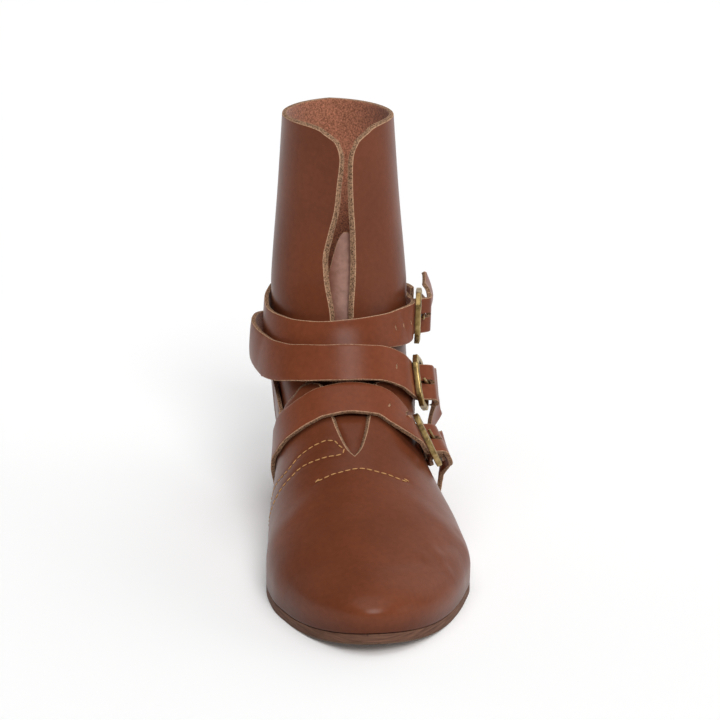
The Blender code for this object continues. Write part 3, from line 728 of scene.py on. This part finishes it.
def low_shoe_points(angles):
    tops = top_line(angles)
    feather = SOLE_THICK + SEAT_GAP
    heights = np.array([column_heights(a, feather, top, UPPER_ROWS + 1) for a, top in zip(angles, tops)])
    angles = np.broadcast_to(angles[:, None], heights.shape)
    points, normals = last_point(angles, heights), last_normal(angles, heights)
    flat, out = points.reshape(-1, 3), normals.reshape(-1, 3)
    press = np.zeros(len(flat))
    for row in STITCH_ROWS.values():
        line = row.point(np.arange(0, row.length, STITCH_SAMPLE), 0.0, 0.0)
        press += STITCH_PRESS * np.exp(-(nearest(flat, line) / STITCH_PRESS_WIDE) ** 2)
    on_top = np.clip(out[:, 2] * CREASE_FADE, 0, 1)
    for line, depth, wide in CREASES:
        far = plan_crease(flat, line) / wide
        press += depth * on_top * (np.exp(-far ** 2) - SWELL * np.exp(-(far - SWELL_AT) ** 2))
    return (flat - out * press[:, None]).reshape(points.shape)


def edge_slant(laid, amount):
    """Slants the cut of a grid's last row, square to the cut, by an amount for each column."""
    along = unit(np.gradient(laid[:, -1], axis=0))
    outwards = laid[:, -1] - laid[:, -2]
    outwards = unit(outwards - along * (outwards * along).sum(-1, keepdims=True))
    slant = np.zeros_like(laid)
    for back in range(SLANT_ROWS):
        slant[:, -1 - back] = (amount * (1 - back / SLANT_ROWS))[:, None] * outwards
    return slant


spread = np.linspace(-1, 1, UPPER_COLUMNS + 1)
angles = np.pi * ((1 - THROAT_CROWD) * spread + THROAT_CROWD * spread ** 3)
laid = low_shoe_points(angles)
slant = edge_slant(laid, smooth(TOP_SLANT, 1, np.degrees(angles)))
low_shoe = make_wall("low_shoe", laid, UPPER_FINISHES, LEATHER, INWARDS, slant=slant)
FOOT_DARK, FOOT_DARK_TO, FOOT_EDGE = 0.5, 15.0, 1.5
from_sole = off_ground(low_shoe)
# The leather is darker towards the sole; the same stored value later also carries the painted shadow under
# the straps.
note(low_shoe, "painted_shadow_and_foot_dark", FOOT_DARK * (1 - ease(SOLE_THICK, FOOT_DARK_TO, from_sole)))
# No pale line shows where the leather meets the sole.
for face in low_shoe.data.polygons:
    if face.material_index == EDGE_SLOT and from_sole[face.vertices[0]] < SOLE_THICK + FOOT_EDGE:
        face.material_index = 0
hand_over(low_shoe, "upper")

# %% [markdown]
# ## Shaft
# The shaft is a tapered cuff, tucked inside the low shoe and open down the front like a leaf. Its two front
# corners are rounded off. It could be a cylinder with a cut, but its edges then would not lean in and out, so
# the grid runs from one front edge round the heel to the other, and both edges follow a table.

# %% Shaft
SHAFT_TUCK = 3.3
TUCKED_BELOW, FLUSH_ABOVE = 94.0, 136.0
SHAFT_COLUMNS, SHAFT_ROWS = 200, 110
CUT_SLANT, COLLAR_SLANT = 2.2, 1.3
COLLAR_SLANT_FULL, COLLAR_SLANT_ENDS = 55.0, 105.0
OPENING_CROWD = 0.35
COLLAR = [(0, 219), (5, 222.3), (11, 224.5), (22, 226), (40, 227), (90, 228.5), (180, 231)]
SHAFT_FOOT = [(0, 94), (20, 94), (45, 78), (80, 60), (180, 56)]
# height, inner edge, outer edge
FRONT_OPENING = [
    (60, 7, 6), (123, 8.1, 4.9), (142, 10.8, 6.2), (152, 11.3, 6.6), (167, 8.4, 6.4), (181, 5, 5.6),
    (197, 3.3, 5), (205, 2.3, 5), (210, 2, 5.4), (214, 2.6, 6.4), (217, 3.8, 8), (220, 5.4, 9.8),
    (223, 7.6, 12),
]
# The two front edges lean forwards to meet like lapels: how far, over what width, between what heights.
LAPEL, LAPEL_REACH = 6.5, 22.0
LAPEL_STARTS, LAPEL_FULL = 110.0, 146.0


def shaft_tuck(height):
    """How deep the shaft's face lies inside the last: tucked in low down, flush above the straps."""
    return SHAFT_TUCK * (1 - ease(TUCKED_BELOW, FLUSH_ABOVE, height))


def shaft_points():
    spread = np.linspace(-1, 1, SHAFT_COLUMNS + 1)
    share = 0.5 + 0.5 * ((1 - OPENING_CROWD) * spread + OPENING_CROWD * np.sin(spread * np.pi / 2))
    share, rise = np.meshgrid(share, np.linspace(0, 1, SHAFT_ROWS + 1), indexing="ij")
    from_front = 180 - np.abs(180 - 360 * share)
    foot, top = smooth(SHAFT_FOOT, 1, from_front), smooth(COLLAR, 1, from_front)
    height = foot + (top - foot) * rise
    half = smooth(LEG, 1, height)
    outer_edge = np.arcsin(smooth(FRONT_OPENING, 2, height) / half)
    inner_edge = np.arcsin(smooth(FRONT_OPENING, 1, height) / half)
    angle = outer_edge + (2 * np.pi - inner_edge - outer_edge) * share
    points = off_last(angle, height, -shaft_tuck(height))
    near_front = np.where(np.cos(angle) > 0, np.clip(1 - np.abs(points[..., 0]) / LAPEL_REACH, 0, 1), 0)
    points[..., 1] -= LAPEL * ease(LAPEL_STARTS, LAPEL_FULL, height) * near_front ** 2
    return points


laid = shaft_points()
slant = np.zeros_like(laid)
for edge, beside in ((0, 1), (-1, -2)):
    slant[edge] = CUT_SLANT * unit(laid[edge] - laid[beside])
slant[:, -1, 2] += COLLAR_SLANT * ease(COLLAR_SLANT_ENDS, COLLAR_SLANT_FULL, laid[:, -1, 1])
shaft = make_wall("shaft_leather", laid, UPPER_FINISHES, LEATHER, INWARDS, slant=slant)
hand_over(shaft, "shaft")

# %% [markdown]
# ## Tongue
# The tongue is a leaf of leather under the throat and behind the opening of the shaft, with a rounded top.
# It is laid on the last in the same way, deep enough to pass under the low shoe and then behind the shaft.
# The face that shows in the opening gets a painted sheen, a pale band down its middle that stands for a
# highlight, which a value at each point tells the finish.

# %% Tongue
TONGUE_THICK = 2.0
TONGUE_GAP = 0.9
UNDER_VAMP, BEHIND_SHAFT = 76.0, 90.0
TONGUE_COLUMNS, TONGUE_ROWS = 40, 110
TONGUE_HIGH_CROWD = 1.25
THROAT_RISE, THROAT_RISE_OVER, THROAT_ENDS = 1.8, 6.0, (76, 92)
TONGUE = [
    (56, 27), (66, 27), (80, 25), (100, 21), (122, 18), (135, 13.5), (148, 9.8), (158, 7), (165, 4),
    (167.5, 1.5),
]
TONGUE_ASIDE = 2.0


def tongue_points():
    rise = np.linspace(0, 1, TONGUE_ROWS + 1)
    height = TONGUE[0][0] + (TONGUE[-1][0] - TONGUE[0][0]) * (1 - (1 - rise) ** TONGUE_HIGH_CROWD)
    across, height = np.meshgrid(np.linspace(-1, 1, TONGUE_COLUMNS + 1), height, indexing="ij")
    deep = LEATHER + TONGUE_GAP + shaft_tuck(height) * ease(UNDER_VAMP, BEHIND_SHAFT, height)
    aside = TONGUE_ASIDE * ease(BEHIND_SHAFT, TONGUE[-1][0], height)
    angle = np.arcsin((across * smooth(TONGUE, 1, height) + aside) / smooth(LEG, 1, height))
    over = np.clip((height - top_line(angle)) / THROAT_RISE_OVER, 0, 1) * (1 - ease(*THROAT_ENDS, height))
    return off_last(angle, height, THROAT_RISE * over - deep)


tongue = make_wall("tongue_leather", tongue_points(), UPPER_FINISHES, TONGUE_THICK, INWARDS)
# Painted sheen: a pale band down the middle of the tongue's upper part, where a highlight falls.
PAINTED_SHEEN_FROM, PAINTED_SHEEN_FULL = 112.0, 132.0
PAINTED_SHEEN_MIDDLE, PAINTED_SHEEN_WIDE, PAINTED_SHEEN_MOST = 1.0, 7.5, 0.9
spot = get_points(tongue) / MM
aside = (spot[:, 0] - PAINTED_SHEEN_MIDDLE) / PAINTED_SHEEN_WIDE
painted_sheen = ease(PAINTED_SHEEN_FROM, PAINTED_SHEEN_FULL, spot[:, 2]) * np.exp(-aside ** 2)
note(tongue, "painted_sheen", PAINTED_SHEEN_MOST * painted_sheen)
hand_over(tongue, "tongue")

# %% [markdown]
# ## Straps and buckles: where they lie
# Each strap runs from its free tail through its buckle, over the instep and round the ankle. The buckle has
# axes of its own: ahead is from its rear bar to its front bar, and out is away from the boot. Inside the
# buckle the leather follows those axes, up over the rear bar and down under the front bar, and further away
# it follows the last. The tables give angle, height, stand-off and roll along each strap.

# %% Strap routes
STRAP_WIDTH, STRAP_THICK = 20.5, 2.4
CHAPE_WIDTH, CHAPE_THICK, CHAPE_SEAT = 14.6, 2.0, 1.5
STRAP_TOP = [
    (110, 130.2, 7.4, -44), (105, 122.2, 9.2, -34), (98, 116.1, 10.9, -8), (89, 113.1, 10.8, 0),
    (71, 112.9, 1.4, 0), (62, 112.8, 0.8, 2), (46, 112.9, 0.6, 9), (30, 113, 0.6, 13), (7, 112.6, 0.6, 15),
    (-12, 111.4, 0.6, 15), (-31, 110.4, 0.6, 13), (-54, 109.8, 0.8, 8), (-68, 109.8, 1.2, 5),
    (-80, 110.6, 1.6, 3), (-92, 112, 1.4, 0), (-112, 115, 0.8, 0), (-128, 117.6, 0.6, 0),
    (-140, 118.2, 0.6, 0), (-180, 118.5, 0.6, 0), (-215, 117, 0.7, 0), (-238, 115.2, 0.8, 0),
    (-247, 114.7, 3.6, 0), (-254, 114.3, 3.9, 0),
]
STRAP_MIDDLE = [
    (108, 50, 10, 32), (102, 59.4, 9.6, 24), (96, 68, 10, 12), (90, 74, 11, 0), (84, 76.8, 11, 0),
    (79, 78, 10.9, 0), (68, 81, 1, 0), (57, 85.6, 0.7, 2), (51, 88.4, 1.2, 5), (40, 92.4, 3.6, 10),
    (21, 97.2, 3.6, 15), (0, 98.4, 3.6, 16), (-33, 97.2, 3.7, 13), (-50, 96, 4, 8), (-62, 95.8, 4.9, 4),
    (-74, 96.6, 6, 0), (-86, 98.4, 7.4, -3), (-96, 100, 8.4, -4), (-106, 100.8, 7.8, 0),
    (-118, 99.6, 5.9, 0), (-128, 97.5, 4, 0), (-138, 96.2, 2.1, 0), (-150, 95.6, 0.9, 0), (-180, 94, 0.6, 0),
    (-215, 89, 0.7, 0), (-230, 86.4, 0.7, 0),
]
STRAP_INSTEP = [
    (105, 21.6, 6.5, 20), (101, 30.4, 7.6, 18), (95, 38.6, 9.4, 10), (88, 44.6, 11.6, 2), (80, 48.6, 11.6, 0),
    (74, 51.4, 10.9, 0), (66, 55, 2, 0), (57, 60.6, 0.7, 0), (48, 67.6, 0.8, 0), (37, 75.8, 0.8, 0),
    (20, 83.4, 0.8, 0), (0, 85.6, 0.8, 0), (-20, 83.2, 0.8, 0), (-34, 78.6, 0.8, 0), (-48, 72.4, 0.8, 0),
    (-62, 65, 0.8, 0), (-71, 59.3, 0.8, 0), (-80.3, 53.3, 0.8, 0), (-92.9, 43.5, 0.8, 0),
    (-103.8, 33.5, 0.8, 0), (-111.8, 23.5, 0.8, 0), (-116.9, 15.5, 0.8, 0), (-120.3, 9, 0.8, 0),
]
# Chapes: angle and height, from behind the buckle to the front bar.
CHAPE_TOP = [(132, 116.6), (107, 114.4), (90, 113.1), (62, 112.8), (30, 112.8)]
CHAPE_MIDDLE = [(134, 83), (104, 79.4), (92, 77.8), (80, 78), (68, 81), (57, 85.6), (40, 92.4)]
CHAPE_INSTEP = [
    (114, 44.6), (100, 45.4), (86, 47.6), (74, 51.4), (66, 55), (57, 60.6), (48, 67.6), (37, 75.8),
]
# strap, its route, the chape's route, angle at the rear bar, how far out the front bar stands, the frame's
# roll in degrees, the chape's inner and outer legs, length of the tail's point, angles of the spare holes
STRAPS = [
    ("top", STRAP_TOP, CHAPE_TOP, 90, 6.9, -4, 16, 14, 11, (39.5, 50, 57.5)),
    ("middle", STRAP_MIDDLE, CHAPE_MIDDLE, 79, 7.0, 9, 16, 14, 0, (34.5,)),
    ("instep", STRAP_INSTEP, CHAPE_INSTEP, 74, 7.5, 8, 18, 14, 0, (29.5,)),
]
POINT_WIDTH = 0.15
BAR_TO_BAR = 20.0
REAR_BAR_OUT = 5.6
# How the strap's inner face passes the buckle: distance ahead of the rear bar, height from the bar's middle
BUCKLE_PATH = [(-40, 5.3), (0, 5.1), (4.5, 5.1), (15, -4.3), (40, -4.3)]
HOLD_BEHIND, HOLD_AHEAD, HOLD_FADE = 1.0, 23.5, 9.0


class Seat:
    """A buckle's own axes: ahead runs from the rear bar to the front bar, out is away from the boot."""

    def __init__(self, route, bar_at, front_bar_out, roll):
        self.bar_at = bar_at
        self.rear = route.point(bar_at, 0.0, REAR_BAR_OUT)
        front = route.point(bar_at + BAR_TO_BAR, 0.0, front_bar_out)
        self.length = np.linalg.norm(front - self.rear)
        self.ahead = (front - self.rear) / self.length
        side = route.point(bar_at, 1.0, REAR_BAR_OUT) - route.point(bar_at, -1.0, REAR_BAR_OUT)
        level = unit(side - self.ahead * side.dot(self.ahead))
        self.side = level * math.cos(roll) - np.cross(level, self.ahead) * math.sin(roll)
        self.out = np.cross(self.side, self.ahead)
        self.matrix = axes_at(self.rear, self.ahead, -self.side, self.out)

    def point(self, ahead, across, out):
        return (self.rear + ahead[..., None] * self.ahead + across[..., None] * self.side
                + out[..., None] * self.out)

    def hold(self, ahead):
        """How far the buckle, and not the boot, decides where the leather lies."""
        taken = ease(-HOLD_BEHIND - HOLD_FADE, -HOLD_BEHIND, ahead)
        released = ease(HOLD_AHEAD, HOLD_AHEAD + HOLD_FADE, ahead)
        return taken * (1 - released)


def strip_points(route, seat, bar_at, rib, width, *steps):
    """A strip of leather along a route: ribs across, steps along."""
    along, stand_off, roll, from_bar = (np.broadcast_to(step, rib.shape) for step in steps)
    lift = np.sin(roll)
    free = route.point(along, rib * np.cos(roll), stand_off + rib * lift + width / 2 * np.abs(lift))
    held = seat.point(along - bar_at, rib, from_bar)
    return free + (held - free) * seat.hold(along - bar_at)[..., None]


ROUTES, SEATS = {}, {}
for label, strap_table, chape_table, bar_angle, front_out, roll, *rest in STRAPS:
    chape_route = Route(chape_table)
    ROUTES[label] = Route(strap_table), chape_route
    SEATS[label] = Seat(chape_route, chape_route.where(bar_angle), front_out, math.radians(roll))
print("strap lengths, mm:", {label: round(pair[0].length, 1) for label, pair in ROUTES.items()})

# %% [markdown]
# ## Straps
# A strap is cut from the same hide with a knife, so its edges waver a little and show the raw fibre. The
# spare holes are punched slits. They could be dark spots in the finish, but real holes look right from any
# side, so each is cut by a Boolean with a thin cutter that leaves a raw edge's finish in the hole.

# %% Straps
STRAP_STEP, STRAP_RIBS = 1.5, 12
EDGE_DROP, EDGE_WAVER, STRAP_BROKEN = 0.25, 0.11, 0.35
# wavelength, shift, share
EDGE_WAVES = [(7.3, 0, 1), (3.1, 1, 0.6), (17, 2, 0.5)]
HOLE_WIDE = 2.8
HOLE_AHEAD, HOLE_OUT = (5.0, 12.8), (-2, 9)
HOLE_SIDES, SLIT_SIDES = 24, 14
SLIT_WIDE, SLIT_LONG, SLIT_DEEP = 1.2, 3.2, 0.6


def cut_with(piece, cutter, finish):
    """Cuts a cutter out of a piece, which takes the finish in the cut, and removes the cutter."""
    dress(cutter, finish)
    finish_with(piece, "BOOLEAN", operation="DIFFERENCE", solver="EXACT", material_mode="TRANSFER",
                object=cutter)
    bpy.data.objects.remove(cutter)


def punch(matrix, size, sides=0):
    """A cutter of a size in millimetres on the axes of a matrix: round, or a box where it has no sides."""
    if sides:
        bpy.ops.mesh.primitive_cylinder_add(vertices=sides, radius=0.5, depth=1)
    else:
        bpy.ops.mesh.primitive_cube_add(size=1)
    cutter = bpy.context.object
    cutter.data.transform(matrix @ Matrix.Diagonal(Vector(size) * MM).to_4x4())
    return cutter


def seat_cutter(seat, ahead, wide, out, sides=0):
    """A cutter between two distances ahead and two distances out in a buckle's own axes."""
    middle = Matrix.Translation(Vector((sum(ahead) / 2, 0, sum(out) / 2)) * MM)
    return punch(seat.matrix @ middle, (ahead[1] - ahead[0], wide, out[1] - out[0]), sides)


def make_strap(label, bar_at, point, spare_holes):
    route, seat = ROUTES[label][0], SEATS[label]
    along = np.linspace(0, route.length, int(route.length / STRAP_STEP) + 1)
    wide = np.clip(along / point, POINT_WIDTH, 1) if point else np.ones_like(along)
    across = np.linspace(-1, 1, STRAP_RIBS + 1)
    waver = sum(share * np.sin(along / wave + shift) for wave, shift, share in EDGE_WAVES)
    rib = across[:, None] * (STRAP_WIDTH / 2 * wide + EDGE_WAVER * waver)[None]
    drop = EDGE_DROP * across[:, None] ** 4
    from_bar = smooth(BUCKLE_PATH, 1, along - bar_at)
    stand_off, roll = route.read(along, 3, 4)
    steps = along, stand_off - drop, np.radians(roll), from_bar
    points = strip_points(route, seat, bar_at, rib, STRAP_WIDTH, *steps)
    strap = make_wall("strap_leather_" + label, points, STRAP_FINISHES, STRAP_THICK, OUTWARDS, STRAP_BROKEN)
    cut_with(strap, seat_cutter(seat, HOLE_AHEAD, HOLE_WIDE, HOLE_OUT, HOLE_SIDES), CUT_EDGE)
    middle = STRAP_RIBS // 2
    for angle in spare_holes:
        at = int(round(route.where(angle) / route.length * (len(along) - 1)))
        travel = unit(points[middle, at + 1] - points[middle, at - 1])
        normal = unit(np.cross(points[middle + 1, at] - points[middle - 1, at], travel))
        slit = axes_at(points[middle, at] + STRAP_THICK * normal, travel, np.cross(normal, travel), normal)
        cut_with(strap, punch(slit, (SLIT_WIDE, SLIT_LONG, 2 * SLIT_DEEP), SLIT_SIDES), EDGE_LINE)
    hand_over(strap, "strap_" + label)


for label, _, _, bar_angle, _, _, _, _, point, spare_holes in STRAPS:
    make_strap(label, ROUTES[label][0].where(bar_angle), point, spare_holes)

# %% [markdown]
# ## Painted shadow under the straps
# The gap under a strap's lower edge lies in shade, so the leather just below that edge is painted darker, as
# a shadow. The finish could carry a drawn line, but a value stored at each point follows the strap wherever
# its route is moved.

# %% Painted shadow lines
LINE_DARK, LINE_WIDE, LINE_BELOW, LINE_SAMPLE = 0.85, 1.5, 0.5, 1.2
marks = np.concatenate([
    route.point(np.arange(0, route.length, LINE_SAMPLE), -STRAP_WIDTH / 2 - LINE_BELOW, 0.0)
    for route, _ in ROUTES.values()])
painted_shadow_and_foot_dark = LINE_DARK * np.exp(-(nearest(get_points(low_shoe) / MM, marks) / LINE_WIDE) ** 2)
layer = low_shoe.data.attributes["painted_shadow_and_foot_dark"]
before = np.empty(len(painted_shadow_and_foot_dark), np.float32)
layer.data.foreach_get("value", before)
layer.data.foreach_set("value", np.maximum(before, painted_shadow_and_foot_dark).astype(np.float32))
print("darkened points", int((painted_shadow_and_foot_dark > before).sum()))

# %% [markdown]
# ## Chapes
# A chape is the short piece that is folded round a buckle's rear bar and holds it to the boot. It is a strip
# too, with a half-round fold in the middle and a slot in the fold for the prong.

# %% Chapes
FOLD_RADIUS, FOLD_STEPS = 3.5, 24
CHAPE_STEP = 1.5
SLOT_WIDE = 4.4


def make_chape(label, inner_leg, outer_leg):
    route, seat = ROUTES[label][1], SEATS[label]
    turn = np.linspace(-np.pi / 2, np.pi / 2, FOLD_STEPS + 1)
    inner = np.linspace(-inner_leg, 0, int(inner_leg / CHAPE_STEP) + 1)[:-1]
    outer = np.linspace(0, -outer_leg, int(outer_leg / CHAPE_STEP) + 1)[1:]
    ahead = np.concatenate([inner, FOLD_RADIUS * np.cos(turn), outer])
    from_bar = np.concatenate([
        np.full_like(inner, -FOLD_RADIUS), FOLD_RADIUS * np.sin(turn), np.full_like(outer, FOLD_RADIUS)])
    rib = np.linspace(-0.5, 0.5, STRAP_RIBS + 1)[:, None] * CHAPE_WIDTH * np.ones_like(ahead)[None]
    stand_off = np.concatenate([np.full_like(inner, CHAPE_SEAT), REAR_BAR_OUT + from_bar[len(inner):]])
    along = seat.bar_at + ahead
    points = strip_points(route, seat, seat.bar_at, rib, CHAPE_WIDTH, along, stand_off, 0.0, from_bar)
    chape = make_wall("chape_leather_" + label, points, STRAP_FINISHES, CHAPE_THICK, BOTH_WAYS)
    reach = FOLD_RADIUS + 3 * CHAPE_THICK
    cut_with(chape, seat_cutter(seat, (-reach, reach), SLOT_WIDE, (-reach, reach)), CUT_EDGE)
    hand_over(chape, "chape_" + label)


for label, _, _, _, _, _, inner_leg, outer_leg, *rest in STRAPS:
    make_chape(label, inner_leg, outer_leg)

# %% [markdown]
# ## Buckle frames
# The frames are cast brass with eight sides, and each bar has a ridge between two slopes. A plane gets eight
# sides by cutting its corners. It is inset to a ring, subdivided and extruded down, and then the middle of
# each bar is raised. A cast piece is never quite even, so a weak cloud pattern moves its skin by a hair.

# %% Buckle frames
FRAME_HEIGHT = 30.0
FRAME_CORNER = 4.8
BAR_WIDE, BAR_BELOW, BAR_ABOVE = 3.8, 1.5, 2.0
BAR_SHOULDER, BAR_CUTS = 1.4, 3
BAR_BEVEL, BAR_SHARP = 0.4, math.radians(24)
CAST_WAVER, CAST_CLOUD = 0.5, 4
clouds = bpy.data.textures.new("cast_skin", "CLOUDS")
clouds.noise_scale = CAST_CLOUD * MM
clouds.noise_depth = 2


def make_frame(label):
    seat = SEATS[label]
    half_long, half_high = seat.length / 2 + BAR_WIDE / 2, FRAME_HEIGHT / 2
    corner = FRAME_CORNER + BAR_WIDE / 2 * (2 - math.sqrt(2))
    bpy.ops.mesh.primitive_plane_add(size=2)
    ring = bpy.context.object
    ring.name = ring.data.name = "frame_brass_" + label
    ring.data.transform(Matrix.Diagonal((half_long * MM, half_high * MM, 1, 1)))
    with editing(ring):
        bpy.ops.mesh.bevel(offset=corner * MM, affect="VERTICES", segments=1, offset_type="OFFSET")
        bpy.ops.mesh.select_all(action="SELECT")
        bpy.ops.mesh.inset(thickness=BAR_WIDE * MM, depth=0)
        bpy.ops.mesh.delete(type="FACE")
    with editing(ring):
        bpy.ops.mesh.subdivide(number_cuts=BAR_CUTS)
        bpy.ops.mesh.select_all(action="SELECT")
        bpy.ops.mesh.extrude_region_move(TRANSFORM_OT_translate={"value": (0, 0, -BAR_BELOW * MM)})
    points = get_points(ring) / MM
    side, high = np.abs(points[:, 0]), np.abs(points[:, 1])
    inside = np.minimum(half_long - side, half_high - high)
    inside = np.minimum(inside, (half_long + half_high - corner - side - high) / math.sqrt(2))
    ridge = 1 - np.abs(2 * inside / BAR_WIDE - 1)
    top = points[:, 2] > -BAR_BELOW / 2
    points[:, 2] = np.where(top, BAR_SHOULDER + (BAR_ABOVE - BAR_SHOULDER) * ridge, -BAR_BELOW)
    points[:, 0] += seat.length / 2
    set_points(ring, points * MM)
    with editing(ring):
        bpy.ops.mesh.normals_make_consistent(inside=False)
    finish_with(ring, "BEVEL", width=BAR_BEVEL * MM, segments=2, limit_method="ANGLE", angle_limit=BAR_SHARP)
    finish_with(ring, "SUBSURF", levels=1, subdivision_type="CATMULL_CLARK")
    finish_with(ring, "DISPLACE", texture=clouds, strength=CAST_WAVER * MM, mid_level=0.5)
    ring.data.transform(seat.matrix)
    dress(ring, OLD_BRASS)
    hand_over(ring, "buckle_frame_" + label)


for label in SEATS:
    make_frame(label)

# %% [markdown]
# ## Prongs
# A prong is a brass wire, hooked round the rear bar, that comes up through the strap and rests on the front
# bar. A bent cylinder would need many loops, so a curve carries the wire's path and its bevel makes the wire.

# %% Prongs
PRONG_RADIUS, PRONG_LOOP, PRONG_REACH, PRONG_TIP = 0.9, 3.3, 18.7, 0.42
PRONG_STEPS = 0.25, 0.5, 0.75, 0.95, 1.0
HOOK_FROM, HOOK_TO, HOOK_STEPS = 300.0, 90.0, 24


def make_prong(label):
    turn = np.radians(np.linspace(HOOK_FROM, HOOK_TO, HOOK_STEPS))
    path = [(PRONG_LOOP * math.cos(t), PRONG_LOOP * math.sin(t)) for t in turn]
    path += [(share * PRONG_REACH, PRONG_LOOP) for share in PRONG_STEPS]
    bpy.ops.curve.primitive_nurbs_path_add()
    wire = bpy.context.object
    wire.name = "prong_brass_" + label
    wire.data.splines.clear()
    line = wire.data.splines.new("POLY")
    line.points.add(len(path) - 1)
    for point, (ahead, out) in zip(line.points, path):
        point.co = (ahead * MM, 0, out * MM, 1)
    line.points[-1].radius = PRONG_TIP
    wire.data.bevel_depth = PRONG_RADIUS * MM
    wire.data.bevel_resolution = 4
    wire.data.use_fill_caps = True
    only(wire)
    bpy.ops.object.convert(target="MESH")
    prong = bpy.context.object
    prong.data.name = prong.name
    prong.data.transform(SEATS[label].matrix)
    dress(prong, OLD_BRASS)
    hand_over(prong, "buckle_prong_" + label)


for label in SEATS:
    make_prong(label)

# %% [markdown]
# ## Stitches
# The seams of the low shoe are sewn with a thick waxed thread. Each stitch is a small flattened bead that
# dips into the leather at both ends. One bead is made, and its copies are set along every row, turned to the
# row's direction and to the leather, and joined into one piece.

# %% Stitches
STITCH_PITCH, STITCH_LONG, STITCH_WIDE, STITCH_HIGH = 3.9, 3.1, 0.7, 0.6
STITCH_OUT, STITCH_AIM = -0.08, 0.8
bpy.ops.mesh.primitive_uv_sphere_add(segments=8, ring_count=6, radius=0.5)
bead = bpy.context.object
bead.data.transform(Matrix.Rotation(math.pi / 2, 4, "Y"))
bead.data.transform(Matrix.Diagonal((STITCH_LONG * MM, STITCH_WIDE * MM, STITCH_HIGH * MM, 1)))


def set_stitch(place, along, normal):
    """One more bead, lying along a direction on the leather."""
    along = unit(along)
    normal = unit(normal - along * normal.dot(along))
    stitch = bead.copy()
    stitch.data = bead.data.copy()
    stitch.data.transform(axes_at(place, along, np.cross(normal, along), normal))
    bpy.context.scene.collection.objects.link(stitch)
    return stitch


def sew_row(row):
    count = max(1, int(round(row.length / STITCH_PITCH)))
    at = (np.arange(count) + 0.5) * row.length / count
    ahead, behind = row.point(at + STITCH_AIM, 0.0, 0.0), row.point(at - STITCH_AIM, 0.0, 0.0)
    places, normals = row.point(at, 0.0, STITCH_OUT), last_normal(*row.on_last(at))
    return [set_stitch(p, a - b, n) for p, a, b, n in zip(places, ahead, behind, normals)]


def join_as(name, beads):
    only(beads[0])
    for other in beads[1:]:
        other.select_set(True)
    bpy.ops.object.join()
    thread = bpy.context.object
    thread.name = thread.data.name = name
    dress(thread, THREAD)
    hand_over(thread)


sewn = [stitch for row in STITCH_ROWS.values() for stitch in sew_row(row)]
join_as("stitches_low_shoe", sewn)
bpy.data.objects.remove(bead)
